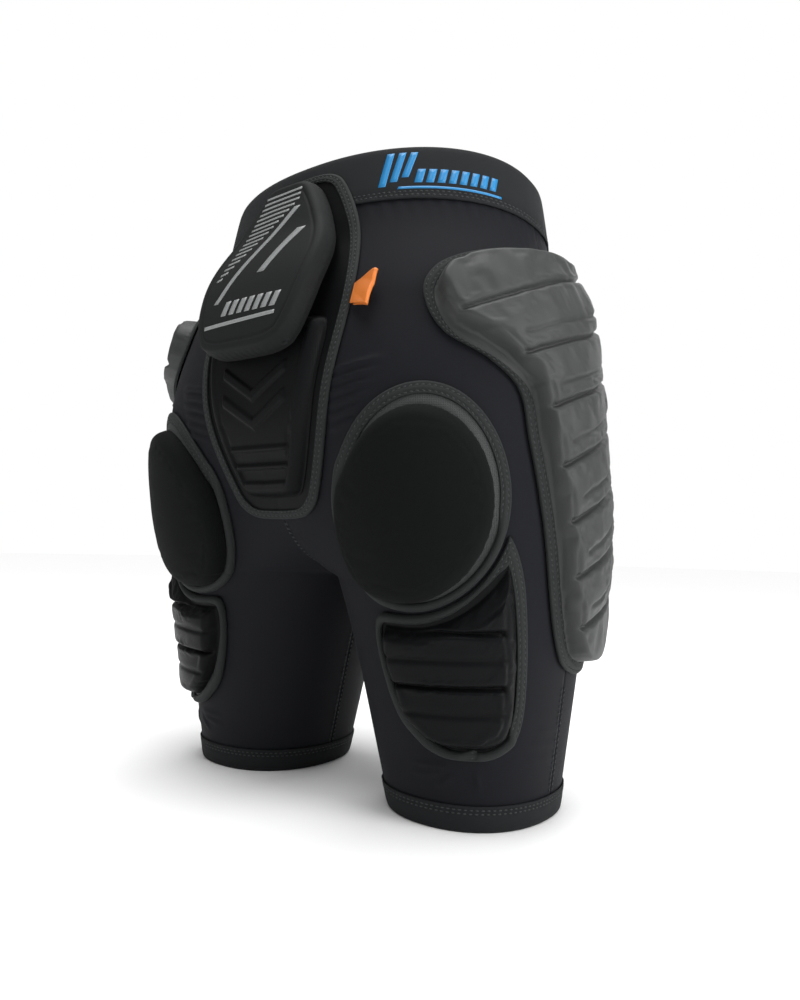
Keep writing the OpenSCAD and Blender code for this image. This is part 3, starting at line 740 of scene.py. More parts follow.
class Colours(bpy.types.PropertyGroup):
    """Colours of the cloths, tapes and prints."""

    shell: colour_property("Shell", "Stretch cloth of the shorts", (0.0058, 0.0062, 0.0085))
    band: colour_property("Bands", "Waistband and leg hems", (0.0095, 0.0105, 0.0115))
    hip_cover: colour_property("Hip cover", "Satin cloth of the hip pads", (0.027, 0.029, 0.0285))
    pad_cover: colour_property("Pad cover", "Cloth of the thigh and tailbone pads", (0.0045, 0.0048, 0.0053))
    dome: colour_property("Dome", "Matt cloth of the seat domes", (0.0034, 0.0039, 0.0039))
    mesh: colour_property("Flange mesh", "Open mesh round the domes", (0.021, 0.0235, 0.0235))
    tape: colour_property("Binding", "Tape sewn round the pads", (0.0125, 0.0145, 0.0145))
    thread: colour_property("Thread", "Sewing thread", (0.03, 0.034, 0.034))
    guard: colour_property("Guard", "Moulded cover of the tailbone guard", (0.0065, 0.0073, 0.0074))
    pale_print: colour_property("Pale print", "Print on the guard", (0.24, 0.25, 0.25))
    motif: colour_property("Blue print", "Print on the waistband", (0.006, 0.2, 0.47))
    tag: colour_property("Tag", "Folded ribbon tag", (0.72, 0.19, 0.02))
    elastic: colour_property("Elastic", "Elastic inside the waistband", (0.6, 0.6, 0.56))
    silicone: colour_property("Gripper", "Silicone ring inside the leg hems", (0.5, 0.53, 0.55))


def fold_line(s, z, a, b, width):
    """A soft ridge from point a to point b over the cloth, fading at its ends."""
    a, b = np.array(a, float), np.array(b, float)
    d = b - a
    length = np.linalg.norm(d)
    along = ((s - a[0]) * d[0] + (z - a[1]) * d[1]) / length
    off = ((s - a[0]) * -d[1] + (z - a[1]) * d[0]) / length
    fade = ease(along / (0.35 * length)) * ease((length - along) / (0.35 * length))
    return bump(off, width) * fade


LEG_CREASES = (((80, 43), (112, 42)), ((82, 40), (110, 34)), ((78, 40), (92, 27)), ((66, 42), (60, 27)))


def shell_relief(t, z, part, sizes):
    """Heights of the folds in the shell's cloth, in millimetres."""
    s = t * mm_per_degree(z)
    lift = np.zeros_like(s)
    if part == "back":
        x = on_shell(t, z)[..., 0]
        for i in range(6):
            low = 258 + 7.6 * i
            lift += sizes.fold_height * fold_line(x, z, (57, low), (89 + 3 * i, low + 9), 2.1)
        for a, b in LEG_CREASES:
            lift += 1.2 * fold_line(s, z, a, b, 1.7)
        for i in range(4):
            lift += 0.8 * fold_line(s, z, (150, 150 - 11 * i), (118, 140 - 12 * i), 2.6)
    for i in range(3):
        lift += 0.5 * fold_line(s, z, (-8 + 4 * i, 60 - 9 * i), (26 + 3 * i, 68 - 9 * i), 2.4)
    gather = 0.22 * np.sin(s / 1.7) * bump(BAND_Z - z, 13)
    return lift + np.where(z < BAND_Z, gather, 0)


class SHORTS_OT_shell(bpy.types.Operator):
    """Makes the four stretch panels of the shell"""

    bl_idname = "shorts.shell"
    bl_label = "Shell"

    def execute(self, context):
        sizes, looks = context.scene.shorts_sizes, cloth_looks()
        for side, word in SIDES:
            for part, grid, area in (("back", (130, 230), 0.104), ("front", (80, 150), 0.098)):
                bm = closed_patch(*grid)
                u, v, top = flat_places(bm)
                z = mix(HEM - TUCK, BAND_Z + TUCK, (v + 1) / 2)
                k = (u + 1) / 2
                t = end_angle(z) * (k if part == "back" else k - 1)
                lift = shell_relief(t, z, part, sizes) * ease((z - HEM - 2) / 8)
                put(bm, skin(t, z, np.where(top, 0, -CLOTH_THICK) + lift), side)
                turn_faces(bm, side)
                obj = piece(f"shell_{part}_{word}", bm, looks["shell"], "shorts",
                            [f"{part}_panel_{word}"], (t * mm_per_degree(z), z), {"groove_and_shade": np.zeros(len(t))})
        return {"FINISHED"}


def round_waist(q, z, out):
    """A point of the waist loop at angle q from the front, the wearer's left first."""
    half = q <= 180
    p = skin(end_angle(z) * (np.where(half, q, 360 - q) / 90 - 1), z, out)
    p[..., 0] *= np.where(half, 1, -1)
    return p


def round_leg(q, z, out):
    """A point of the left leg's loop at angle q from the side, the back first."""
    t = np.where(q > 180, q - 360, q)
    n = shell_normal(t, z)
    n[..., 2] = 0
    n /= np.linalg.norm(n, axis=-1, keepdims=True)
    return on_shell(t, z) + np.asarray(out)[..., None] * n


WAIST_SECTION = [
    (424, 0.7), (424, 1.2), (424.5, 1.5), (425.6, 1.6), (426.8, 1.25), (428, 1.55), (429.4, 1.25), (430.8, 1.65),
    (436, 1.75), (445, 1.8), (455, 1.75), (461, 1.6), (463.8, 1.2), (465.4, 0.4), (466, -0.6), (465.4, -1.6),
    (463.8, -2.3), (461, -2.6), (445, -2.7), (430, -2.7), (425, -2.6), (424, -2.3), (424, -1.8), (431, -1.8),
    (444, -1.8), (464, -1.8), (464, 0.6), (444, 0.6), (431, 0.6),
]
HEM_SECTION = [
    (18, 0.7), (18, 1.2), (17.5, 1.5), (16.6, 1.55), (15.4, 1.2), (14.2, 1.5), (12.8, 1.2), (11.5, 1.55),
    (8, 1.65), (4, 1.6), (1.6, 1.4), (0.5, 0.9), (0.05, 0.1), (0.02, -0.8), (0.3, -1.7), (1.5, -2.3), (4, -2.6),
    (12, -2.7), (17, -2.6), (18, -2.3), (18, -1.8), (11, -1.8), (1.2, -1.8), (1.2, 0.6), (11, 0.6),
]


def swept(where, stations, section, lift=None):
    """A section of (height, out) pairs carried round a loop, and the length of the loop's middle."""
    q = (np.arange(stations) * 360 / stations)[:, None]
    z, out = np.array(section, float).T
    points = where(*np.broadcast_arrays(q, z, out + (lift(q, z, out) if lift else 0 * q)))
    middle = points.mean(1)
    steps = np.linalg.norm(np.roll(middle, -1, 0) - middle, axis=1)
    return points, q[:, 0], z, out, steps


def band_ring(name, where, section, stations, looks, side, node):
    """A folded band of cloth round the waist or a leg, with its seam ripples."""
    def ripple(q, z, out):
        return 0.12 * np.sin(q * stations / 9 * math.pi / 180) * bump(z - section[0][0], 5) * (out > 1)

    points, _, z, out, steps = swept(where, stations, section, ripple)
    along = running(steps)
    profile = running(np.hypot(np.diff(z), np.diff(out)))
    obj = ring_piece(name, points, looks["band"], side, "shorts", [node],
                     (along[:-1], profile, along[-1], profile[-1] + 0.4))


def inner_ring(name, where, section, stations, finish, side, node, lift=None):
    """A ring inside a band, of elastic or silicone."""
    points, q, z, _, steps = swept(where, stations, section, lift)
    obj = ring_piece(name, points, finish, side, "shorts", [node],
                     (q, z, 360, 1))


def stitch_rings(name, where, heights, out, count, side, looks, sizes):
    bm = bmesh.new()
    q = np.arange(count) * 360 / count
    for z in heights:
        sew(bm, *path_on(where, q, np.full(count, z), out, side), sizes)
    piece(name, bm, looks["thread"], "shorts")


def gripper_wave(q, z, out):
    """The silicone's raised waves, which stand inwards."""
    return -np.abs(np.where(np.abs(z - 9) < 5, 0.35, 0) * np.sin(q * 0.7) * np.cos(z * 1.2))


ELASTIC_SECTION = [(431.5, 0.05), (431.5, -1.15), (446, -1.15), (464, -1.15), (464, 0.05), (446, 0.05)]
GRIPPER_SECTION = [(3, -3), (15, -3), (15, -4), (12.6, -4.1), (10.8, -4.1), (9, -4.1), (7.2, -4.1), (5.4, -4.1),
                   (3, -4)]


class SHORTS_OT_bands(bpy.types.Operator):
    """Makes the waistband, the leg hems and the elastic parts inside them"""

    bl_idname = "shorts.bands"
    bl_label = "Waistband and leg hems"

    def execute(self, context):
        sizes, looks = context.scene.shorts_sizes, cloth_looks()
        band_ring("waistband_cloth", round_waist, WAIST_SECTION, 480, looks, LEFT, "waistband")
        stitch_rings("waistband_stitches", round_waist, (426.9, 429.5), 1.4, 400, LEFT, looks, sizes)
        for side, word in SIDES:
            band_ring(f"hem_{word}", round_leg, HEM_SECTION, 260, looks, side, f"leg_hem_{word}")
            stitch_rings(f"hem_stitches_{word}", round_leg, (15.4, 12.9), 1.35, 240, side, looks, sizes)
            inner_ring(f"gripper_{word}", round_leg, GRIPPER_SECTION, 200, looks["silicone"], side,
                       f"hem_gripper_{word}", gripper_wave)
        inner_ring("elastic_band", round_waist, ELASTIC_SECTION, 160, looks["elastic"], LEFT, "waist_elastic")
        return {"FINISHED"}


# Each row is a place across the tape and its height, in millimetres, and the painted shade that darkens it there,
# in the stitch dents and where the bead folds under.
TAPE_SECTION = [
    (-2.4, 1.5, 0), (-2.7, 2.4, 0), (-2.3, 3.1, 0), (-1.6, 3.2, 0.2), (-0.7, 2.75, 1), (0.2, 3.15, 0.2),
    (1.2, 3.3, 0), (2.2, 3.15, 0.2), (3.1, 2.65, 1), (4, 3.0, 0.2), (4.8, 2.8, 0), (5.5, 2.2, 0), (5.7, 1.4, 0),
    (5.5, 0.85, 0), (3, 0.85, 0), (0.5, 0.85, 0),
]
BEAD_SECTION = [
    (0.7, 0.85, 0), (-0.2, 1.4, 0), (-0.5, 2.2, 0.3), (-0.5, 3.1, 0.1), (0, 4.1, 0), (0.8, 4.8, 0), (1.8, 5.2, 0),
    (2.7, 5.2, 0), (3.7, 4.8, 0), (4.5, 4.1, 0), (5.1, 3.2, 0), (5.5, 2.2, 0.3), (5.6, 1.4, 0.3), (5.4, 0.85, 0),
    (3, 0.85, 0), (1.5, 0.85, 0),
]


BIND_MID, STITCH_IN, STITCH_OUT = 3, 1.2, 3.1


def bind(name, pad, side, looks, node, sizes, beaded=lambda s, z: np.zeros_like(s), reach=1.0):
    """The tape or round bead sewn along a pad's outline, with its two rows of stitches.

    beaded(s, z) says where the tape is a bead, from 0 to 1. reach is how far it goes in over the pad."""
    (u, v), length = pad.loop(BIND_MID, 1.2)
    rows = []
    tape, bead = np.array(TAPE_SECTION, float), np.array(BEAD_SECTION, float)
    tape[:, 0] = np.where(tape[:, 0] < STITCH_IN, mix(STITCH_IN, tape[:, 0], reach), tape[:, 0])
    share = beaded(*pad.spot(u, v, BIND_MID))
    for (g0, h0, _), (g1, h1, _) in zip(tape, bead):
        g, h = mix(g0, g1, share), mix(h0, h1, share)
        rows.append(pad.lay(*pad.spot(u, v, g), h))
    points = np.stack(rows, 1)
    across = running(np.hypot(*np.diff(tape[:, :2], axis=0).T))
    along = np.arange(len(u)) * length / len(u)
    # The section's last column is the tape's painted shade.
    obj = ring_piece(f"{name}_tape", points, looks["tape"], side, "shorts", [node],
                     (along, across, length, across[-1] + 2.5), (bead if share.any() else tape)[:, 2])
    bm = bmesh.new()
    for g, h, slant in ((mix(STITCH_IN, -0.7, reach), 2.85, 0.3), (STITCH_OUT, 2.75, -0.3)):
        (u, v), _ = pad.loop(g, 1.5)
        s, z = pad.spot(u, v, g)
        keep = beaded(s, z) < 0.5
        path, out = path_on(pad.lay, s, z, h, side)
        for run in runs_of(keep):
            closed = len(run) == len(keep)
            if len(run) > 3:
                sew(bm, path[run], out[run], sizes, slant * side, closed)
    piece(f"{name}_stitches", bm, looks["thread"], "shorts")


def runs_of(keep):
    """The unbroken runs of places round a loop where keep holds, as lists of indices."""
    n = len(keep)
    if keep.all():
        return [np.arange(n)]
    start = int(np.argmin(keep))
    order = (np.arange(n) + start) % n
    runs, now = [], []
    for i in order:
        if keep[i]:
            now.append(i)
        elif now:
            runs.append(np.array(now))
            now = []
    return runs + [np.array(now)] if now else runs


def swell(level, lines, low, skew, rise):
    """How far each rib between two lines swells, from 0 to 1."""
    puff = np.zeros_like(level)
    for at, below in zip(lines, (*lines[1:], low)):
        part = np.clip((level - below) / (at - below), 0, 1)
        puff = np.where((level <= at) & (level > below), np.sin(math.pi * part**skew) ** rise, puff)
    return puff


def foam_rise(d, start, run, rise=0.75):
    """The foam's rounded shoulder, from 0 to 1, by the distance from the pad's edge."""
    return np.sin(math.pi / 2 * np.clip((d - start) / run, 0, 1)) ** rise


HIP_GROOVES, HIP_LAST, HIP_FOAM, HIP_LEAN = (370, 329, 289, 250, 213, 176, 139), 98, 11.8, 0.43
THIGH_GROOVES, THIGH_LAST, THIGH_FOAM, THIGH_LEAN = (203, 168, 134, 99), 62, 8.6, 0.03


def hip_shape(sizes):
    def shape(s, z, d, u):
        level = z + HIP_LEAN * s
        groove_and_shade = np.zeros_like(s)
        for i, at in enumerate(HIP_GROOVES):
            groove_and_shade += bump(level - at, 1.9)
            groove_and_shade += 0.45 * bump(level - at - 13, 1.6) * ease((d - 20) / 6) * (i > 0)
            notch = bump(d - 14.4, 1.4) * ease((level - at) / 2) * ease((at + 27 - level) / 14) * ease(u * 4)
            groove_and_shade += 0.6 * notch
        groove_and_shade = np.minimum(groove_and_shade, 1)
        top = np.clip((level - HIP_GROOVES[0]) / 44, 0, 1)
        puff = np.where(level > HIP_GROOVES[0], np.sin(math.pi * (0.5 + 0.5 * (1 - top))) ** 0.5 * (top < 1),
                        swell(level, HIP_GROOVES, HIP_LAST, 1, 0.55))
        inside = ease((d - 11) / 3.5)
        height = 2.1 + HIP_FOAM * foam_rise(d, 8.9, 5) + inside * (sizes.puff * puff - sizes.groove_depth * groove_and_shade)
        # The second value is the groove depth inside the border, also the painted shade of the grooves and
        # notches.
        return height + 0.5 * bump(d - 8, 1.5), groove_and_shade * inside
    return shape


def seat_shape(s, z, d, u):
    # The second value is painted shade along the crease at the foot of the foam.
    return 2.3 + 1.2 * ease((d - 8) / 6), 0.25 * bump(d - 8.6, 1.2)


def dome_shape(s, z, d, u):
    wall = (1 - (1 - np.clip(d / 9.5, 0, 1)) ** 2.3) ** 0.55
    # The second value is painted shade at the foot of the dome's wall, along its edge.
    return 3 + 12.4 * wall + 4.4 * foam_rise(d, 0, 48, 1), 0.5 * bump(d - 0.3, 0.8)


def thigh_shape(sizes):
    def shape(s, z, d, u):
        level = z + THIGH_LEAN * (s - 55)
        groove_and_shade = np.zeros_like(s)
        outer = ease(-u * 3)
        start = mix(11, 18, outer)
        for at in THIGH_GROOVES:
            groove_and_shade += bump(level - at, 1.8) + 0.4 * bump(level - at + 17, 2.2)
            notch = bump(d - start + 1, 1.5) * ease((level - at + 15) / 3) * ease((at + 2 - level) / 3)
            groove_and_shade += 0.5 * outer * notch
        groove_and_shade = np.minimum(groove_and_shade, 1)
        top = np.clip((level - THIGH_GROOVES[0]) / 38, 0, 1)
        puff = np.where(level > THIGH_GROOVES[0], np.sin(math.pi * top) ** 0.6,
                        swell(level, THIGH_GROOVES, THIGH_LAST, 0.8, 0.6))
        inside = ease((d - start + 2) / 3)
        height = 2.0 + THIGH_FOAM * foam_rise(d, 8.4, 8)
        # The second value is the groove depth inside the border, also the painted shade of the grooves and
        # notches.
        return height + inside * (1.3 * sizes.puff * puff - sizes.groove_depth * groove_and_shade), groove_and_shade * inside
    return shape


TAIL_FOAM, CHEVRONS, TAIL_BARS = 7.8, (268, 286), ((252, 30), (240, 27), (228, 24), (216, 18))


def tail_pad_shape(x, z, d, u):
    wide = np.abs(x)
    relief = np.zeros_like(x)
    for low in CHEVRONS:
        off = z - (low + 0.55 * wide)
        relief += ease((4.2 - np.abs(off)) / 1.6) * ease((32 - wide) / 3)
    for at, half in TAIL_BARS:
        relief += ease((2.4 - np.abs(z - at)) / 1.8) * ease((half - wide) / 4)
    relief = np.clip(relief, 0, 1)
    inside = ease((d - 9) / 4)
    height = 2.4 + TAIL_FOAM * foam_rise(d, 1, 8, 0.8) + inside * (2.0 * relief - 1.2)
    # The second value is painted shade on the low ground between the raised chevrons and bars.
    return height, (1 - relief) * 0.35 * inside


def backing_shape(x, z, d, u):
    # The second value is painted shade along a thin line just inside the edge.
    return 1.7 + 0 * x, bump(d - 7, 1.2) * 0.4


GUARD_FOAM = 13.6


def guard_shape(x, z, d, u):
    wall = (1 - (1 - np.clip(d / 6.5, 0, 1)) ** 2.4) ** (1 / 2.2)
    low = ease((GUARD_MID + 30 - z) / 20)
    crease = bump(d - 8.2, 0.9) * np.maximum(low, ease((-x - 12) / 8) * ease((GUARD_TOP - 8 - z) / 8))
    bead = 0.9 * bump(d - 2.4, 1.1) * low
    # The crease is pressed in and also returned as painted shade.
    return 2.2 + GUARD_FOAM * wall + 1.2 * ease((d - 6) / 34) + bead - 0.7 * crease, crease


class SHORTS_OT_hip_pads(bpy.types.Operator):
    """Makes the ribbed hip pads and their bindings"""

    bl_idname = "shorts.hip_pads"
    bl_label = "Hip pads"

    def execute(self, context):
        sizes, looks = context.scene.shorts_sizes, cloth_looks()
        for side, word in SIDES:
            make_pad(f"hip_pad_{word}", HIP, (120, 300), hip_shape(sizes), looks["hip"], side,
                     [f"hip_{p}_{word}" for p in ("lining", "foam", "cover")], cap=1.2)
            bind(f"hip_{word}", HIP, side, looks, f"hip_binding_{word}", sizes)
        return {"FINISHED"}


def seat_bead(s, z):
    """The domes' edge is a bead below and inside, and a flat tape above."""
    return ease((SEAT_MID + 12 - z + 0.25 * (s - SEAT_S)) / 26)


def thigh_bead(s, z):
    """The thigh pads' edge is a bead inside and at the lower end."""
    return ease((s - 66) / 14) * ease((z - 20) / 5) + ease((68 - z) / 8) * (s < 66)


class SHORTS_OT_seat_domes(bpy.types.Operator):
    """Makes the domes over the seat, with their mesh flange and edge"""

    bl_idname = "shorts.seat_domes"
    bl_label = "Seat domes"

    def execute(self, context):
        sizes, looks = context.scene.shorts_sizes, cloth_looks()
        for side, word in SIDES:
            make_pad(f"seat_flange_{word}", SEAT, (90, 110), seat_shape, looks["mesh"], side,
                     [f"seat_lining_{word}"])
            make_pad(f"seat_dome_{word}", DOME, (120, 140), dome_shape, looks["dome"], side,
                     [f"seat_{p}_{word}" for p in ("foam", "cover")], floor=2, grow=0, coarse=(32, 36), cap=0.8)
            bind(f"seat_{word}", SEAT, side, looks, f"seat_binding_{word}", sizes, seat_bead)
        return {"FINISHED"}


class SHORTS_OT_thigh_pads(bpy.types.Operator):
    """Makes the ribbed pads at the back of the thighs"""

    bl_idname = "shorts.thigh_pads"
    bl_label = "Thigh pads"

    def execute(self, context):
        sizes, looks = context.scene.shorts_sizes, cloth_looks()
        for side, word in SIDES:
            make_pad(f"thigh_pad_{word}", THIGH, (110, 150), thigh_shape(sizes), looks["pad"], side,
                     [f"thigh_{p}_{word}" for p in ("lining", "foam", "cover")], coarse=(32, 42), cap=1.2)
            bind(f"thigh_{word}", THIGH, side, looks, f"thigh_binding_{word}", sizes, thigh_bead)
        return {"FINISHED"}


# The ribbon is sewn in at the tag's hinge, and stands off it at this slant and turn.
TAG_SEAM, TAG_SLANT, TAG_TURN = np.array((-71.957, 88.287, 350.036)), math.radians(16.79), math.radians(170)
TAG_LONG, TAG_WIDE, TAG_STRAIGHT, TAG_BEND, TAG_TUCK = 38, 25, 17.5, 1.2, 0.4


class SHORTS_OT_tailbone(bpy.types.Operator):
    """Makes the tailbone protector: backing, lower pad, border, outer guard, its print and the tag"""

    bl_idname = "shorts.tailbone"
    bl_label = "Tailbone protector"

    def execute(self, context):
        sizes, looks = context.scene.shorts_sizes, cloth_looks()
        make_pad("tailbone_back", TAIL, (90, 160), backing_shape, looks["pad"], LEFT,
                 ["tailbone_backing"])
        bind("tailbone", TAIL, LEFT, looks, "tailbone_binding", sizes, reach=0.5)
        make_pad("tailbone_pad", TAIL_PAD, (110, 130), tail_pad_shape, looks["pad"], LEFT,
                 ["tailbone_pad_foam", "tailbone_pad_cover"], floor=1.9, grow=0, coarse=(32, 40), cap=0.9)
        guard = make_pad("tailbone_shield", GUARD, (120, 150), guard_shape, looks["guard"], LEFT,
                         ["guard_lining", "guard_foam", "guard_cover"], body="tailbone_guard", floor=0.9, grow=0)
        self.print_guard(guard, sizes, looks)
        self.tag(looks)
        return {"FINISHED"}

    def print_guard(self, guard, sizes, looks):
        """Graded stripes, two slanting bars and a row of blocks over a line."""
        shapes = []
        count = sizes.stripes
        for i in range(count):
            z = 433 - 4.4 * i
            left = mix(18, 39, i / (count - 1))
            right = -16 if i < 3 else mix(-13, 34, (i - 3) / (count - 4))
            shapes.append([(left, z), (right, z + 1.2), (right, z + 2.9), (left, z + 1.7)])
        shapes += [[(33, 345), (28, 345), (-19, 419), (-14, 419)], [(-4, 362), (-11, 362), (-31, 396), (-24, 396)],
                   [(37, 326.5), (-33, 328.5), (-33, 331), (37, 329)]]
        for x in range(21, -35, -8):
            shapes.append([(x, 334), (x - 5, 334.1), (x - 8, 344.6), (x - 3, 344.5)])
        printed("guard_print", shapes, GUARD.lay, 17, guard, looks["print"], LEFT, "tailbone_guard")

    def tag(self, looks):
        """The folded ribbon: out from the seam, round and back, flaring a little at its free end."""
        bm = closed_patch(60, 26)
        u, v, top = flat_places(bm)
        along, up = (u + 1) / 2 * TAG_LONG, v * TAG_WIDE / 2
        arc = math.pi * TAG_BEND
        k = np.clip((along - TAG_STRAIGHT) / arc, 0, 1)
        nx, ny = np.sin(k * math.pi), -np.cos(k * math.pi)
        end = TAG_STRAIGHT - TAG_TUCK
        x = np.where(along < TAG_STRAIGHT, along - TAG_TUCK,
                     np.where(k < 1, end + TAG_BEND * nx, end - (along - TAG_STRAIGHT - arc)))
        thick = np.where(top, 0.4, -0.35)
        wave = 0.8 * np.sin(up / 5 + x / 7) * np.clip(x / 12, 0, 1)
        x = x + thick * nx + 1.5 * v * np.clip(x / 17, 0, 1)
        y = (TAG_BEND + thick) * ny - np.abs(wave)
        w = up * mix(0.6, 1.0, np.clip(x / 17, 0, 1))
        x, y = x * math.cos(TAG_TURN) - y * math.sin(TAG_TURN), x * math.sin(TAG_TURN) + y * math.cos(TAG_TURN)
        c, n = math.cos(TAG_SLANT), math.sin(TAG_SLANT)
        put(bm, np.stack([x, y * c - w * n, y * n + w * c], 1) + TAG_SEAM)
        bmesh.ops.recalc_face_normals(bm, faces=bm.faces)
        # The groove mark is painted shade along lines near the ribbon's edges and in a band 3 mm from the seam.
        obj = piece("tag_fold", bm, looks["tag"], "tag", ["tag_loop"], (along, up),
                    {"groove_and_shade": bump(np.abs(up) - 10.6, 0.7) + 0.6 * bump(along - 3, 1.2)})


def printed(name, shapes, lay, out, ground, finish, side, body):
    """Thin printed marks on a piece: each shape is four corners over the cloth."""
    whole = bmesh.new()
    whole.loops.layers.uv.new("cloth")
    tree = tree_of(ground)
    for a, b, c, d in np.array(shapes, float):
        wide = max(np.linalg.norm(b - a), np.linalg.norm(c - d))
        high = max(np.linalg.norm(d - a), np.linalg.norm(c - b))
        bm = closed_patch(max(2, int(wide / MARK_STEP)), max(2, int(high / MARK_STEP)))
        u, v, top = flat_places(bm)
        i, j = ((u + 1) / 2)[:, None], ((v + 1) / 2)[:, None]
        place = (a * (1 - i) + b * i) * (1 - j) + (d * (1 - i) + c * i) * j
        base, normal = path_on(lay, *place.T, out, side)
        points = cling(base, normal, tree)
        normal /= np.linalg.norm(normal, axis=1, keepdims=True)
        put(bm, points / MM + normal * np.where(top, *MARK_HEIGHTS)[:, None])
        bmesh.ops.recalc_face_normals(bm, faces=bm.faces)
        mesh = mesh_of(bm, "mark")
        spread_uv(mesh, place)
        join(whole, mesh)
    piece(name, whole, finish, body)


class SHORTS_OT_prints(bpy.types.Operator):
    """Prints the slanting bars and blocks at the back of the waistband"""

    bl_idname = "shorts.prints"
    bl_label = "Waistband print"

    def execute(self, context):
        looks = cloth_looks()
        shapes = []
        for i in range(3):
            s, low = 133 - 8.2 * i, 434 + 3.2 * i
            shapes.append([(s, low), (s - 5, low), (s - 13, 460), (s - 8, 460)])
        for i in range(8):
            s = 108 - 8.2 * i
            shapes.append([(s, 436), (s - 5.6, 436), (s - 9, 446.5), (s - 3.4, 446.5)])
        shapes.append([(120, 431.4), (40, 431.4), (40, 433.2), (119, 433.2)])
        printed("waist_print", shapes, over_side, 1.8, bpy.data.objects["waistband_cloth"], looks["motif"], RIGHT,
                "shorts")
        return {"FINISHED"}


SEAM_HALF = 1.3


class SHORTS_OT_seams(bpy.types.Operator):
    """Sews the side, centre and inner leg seams of the shell"""

    bl_idname = "shorts.seams"
    bl_label = "Shell seams"

    def execute(self, context):
        sizes, looks = context.scene.shorts_sizes, cloth_looks()
        bm = bmesh.new()
        for side, _ in SIDES:
            for end, angle in ((92, 0), (158, 180)):
                for off in (-SEAM_HALF, SEAM_HALF):
                    z = np.linspace(HEM + 1, end, 90)
                    t = angle + off / mm_per_degree(z)
                    sew(bm, *path_on(skin, t, z, 0.25, side), sizes, 0, False)
        for sign, end in ((-1, 422), (1, 200)):
            for side in (RIGHT, LEFT):
                z = np.linspace(168, end, 150)
                t = sign * (end_angle(z) - SEAM_HALF / mm_per_degree(z))
                sew(bm, *path_on(skin, t, z, 0.25, side), sizes, 0, False)
        piece("shell_seams", bm, looks["thread"], "shorts")
        return {"FINISHED"}


# Each lamp's name, place, size in metres and power in watts. They point at AIM.
LAMPS = (("key", (-1.7, -0.1, 0.8), 0.9, 22), ("top", (-0.3, 0.7, 1.7), 0.8, 6),
         ("back", (0.9, 1.7, 0.9), 1.2, 2.5), ("front", (0.4, -1.8, 1.0), 1.2, 12))
AIM = Vector((0, 0, 0.25))
CAMERA_PLACE, CAMERA_TURNS, CAMERA_LENS = (-0.4058, 0.4711, 0.188), (217.3, 3.0, 1.4), 28.07
WORLD_LIGHT, SKY_POWER, SKY_SPREAD, PAPER = 0.22, 2.55, 50, 0.98


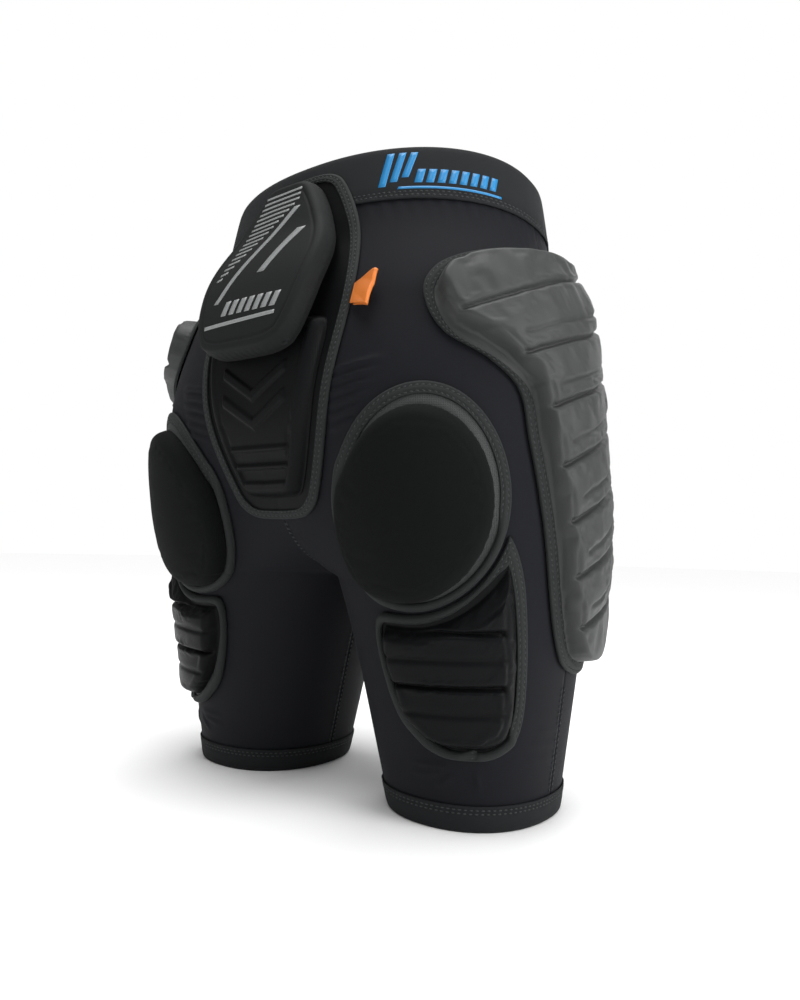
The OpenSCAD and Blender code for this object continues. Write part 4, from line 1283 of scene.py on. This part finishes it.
class SHORTS_OT_stage(bpy.types.Operator):
    """Sets the pale floor, the soft lights and the camera"""

    bl_idname = "shorts.stage"
    bl_label = "Stage"

    def execute(self, context):
        bm = bmesh.new()
        bmesh.ops.create_circle(bm, cap_ends=True, segments=96, radius=7)
        mesh = mesh_of(bm, "floor")
        floor = bpy.data.objects.new("floor", mesh)
        context.scene.collection.objects.link(floor)
        paper = bpy.data.materials.new("pale_paper")
        paper.use_nodes = True
        shader = paper.node_tree.nodes["Principled BSDF"]
        shader.inputs["Base Color"].default_value = (PAPER, PAPER, PAPER, 1)
        shader.inputs["Roughness"].default_value = 0.9
        mesh.materials.append(paper)
        world = bpy.data.worlds.new("studio")
        world.use_nodes = True
        n = Nodes(world.node_tree)
        backdrop = world.node_tree.nodes["Background"]
        seen = n.add("ShaderNodeLightPath").outputs["Is Camera Ray"]
        strength = n.math("MULTIPLY_ADD", seen, 1 - WORLD_LIGHT, WORLD_LIGHT)
        world.node_tree.links.new(strength, backdrop.inputs["Strength"])
        backdrop.inputs["Color"].default_value = (1, 1, 1, 1)
        context.scene.world = world
        context.scene.view_settings.view_transform = "Standard"
        sun = bpy.data.lights.new("sky", "SUN")
        sun.energy, sun.angle = SKY_POWER, math.radians(SKY_SPREAD)
        context.scene.collection.objects.link(bpy.data.objects.new("sky", sun))
        for name, place, size, energy in LAMPS:
            light = bpy.data.lights.new(name, "AREA")
            light.size, light.energy = size, energy
            lamp = bpy.data.objects.new(name, light)
            lamp.location = place
            lamp.rotation_euler = (AIM - Vector(place)).to_track_quat("-Z", "Y").to_euler()
            context.scene.collection.objects.link(lamp)
        self.camera(context)
        return {"FINISHED"}

    def camera(self, context):
        """Stands behind the wearer's right, close by, and looks a little up."""
        turn, tilt, roll = map(math.radians, CAMERA_TURNS)
        ahead = Vector((-math.sin(turn) * math.cos(tilt), math.cos(turn) * math.cos(tilt), math.sin(tilt)))
        right = Vector((math.cos(turn), math.sin(turn), 0))
        up = right.cross(ahead)
        across = right * math.cos(roll) + up * math.sin(roll)
        above = -right * math.sin(roll) + up * math.cos(roll)
        data = bpy.data.cameras.new("camera")
        data.sensor_width, data.lens = 36, CAMERA_LENS
        camera = bpy.data.objects.new("camera", data)
        camera.matrix_world = Matrix.Translation(CAMERA_PLACE) @ Matrix(
            [across, above, -ahead]).transposed().to_4x4()
        context.scene.collection.objects.link(camera)
        context.scene.camera = camera


class SHORTS_PT_panel(bpy.types.Panel):
    """Shows the sizes and colours of the shorts and a button for each step"""

    bl_idname = "SHORTS_PT_panel"
    bl_label = "Padded shorts"
    bl_space_type = "VIEW_3D"
    bl_region_type = "UI"
    bl_category = "Shorts"

    def draw(self, context):
        for group_ in (context.scene.shorts_sizes, context.scene.shorts_colours):
            for key in group_.__annotations__:
                self.layout.prop(group_, key)
        for step in STEPS:
            self.layout.operator(step.bl_idname)


STEPS = (SHORTS_OT_shell, SHORTS_OT_bands, SHORTS_OT_hip_pads, SHORTS_OT_seat_domes, SHORTS_OT_thigh_pads,
         SHORTS_OT_tailbone, SHORTS_OT_prints, SHORTS_OT_seams, SHORTS_OT_stage)
CLASSES = (Sizes, Colours, *STEPS, SHORTS_PT_panel)


def register():
    for item in CLASSES:
        bpy.utils.register_class(item)
    bpy.types.Scene.shorts_sizes = PointerProperty(type=Sizes)
    bpy.types.Scene.shorts_colours = PointerProperty(type=Colours)


def unregister():
    del bpy.types.Scene.shorts_colours
    del bpy.types.Scene.shorts_sizes
    for item in reversed(CLASSES):
        bpy.utils.unregister_class(item)


def main():
    register()
    for step in STEPS:
        area, name = step.bl_idname.split(".")
        getattr(getattr(bpy.ops, area), name)()


if __name__ == "__main__":
    main()
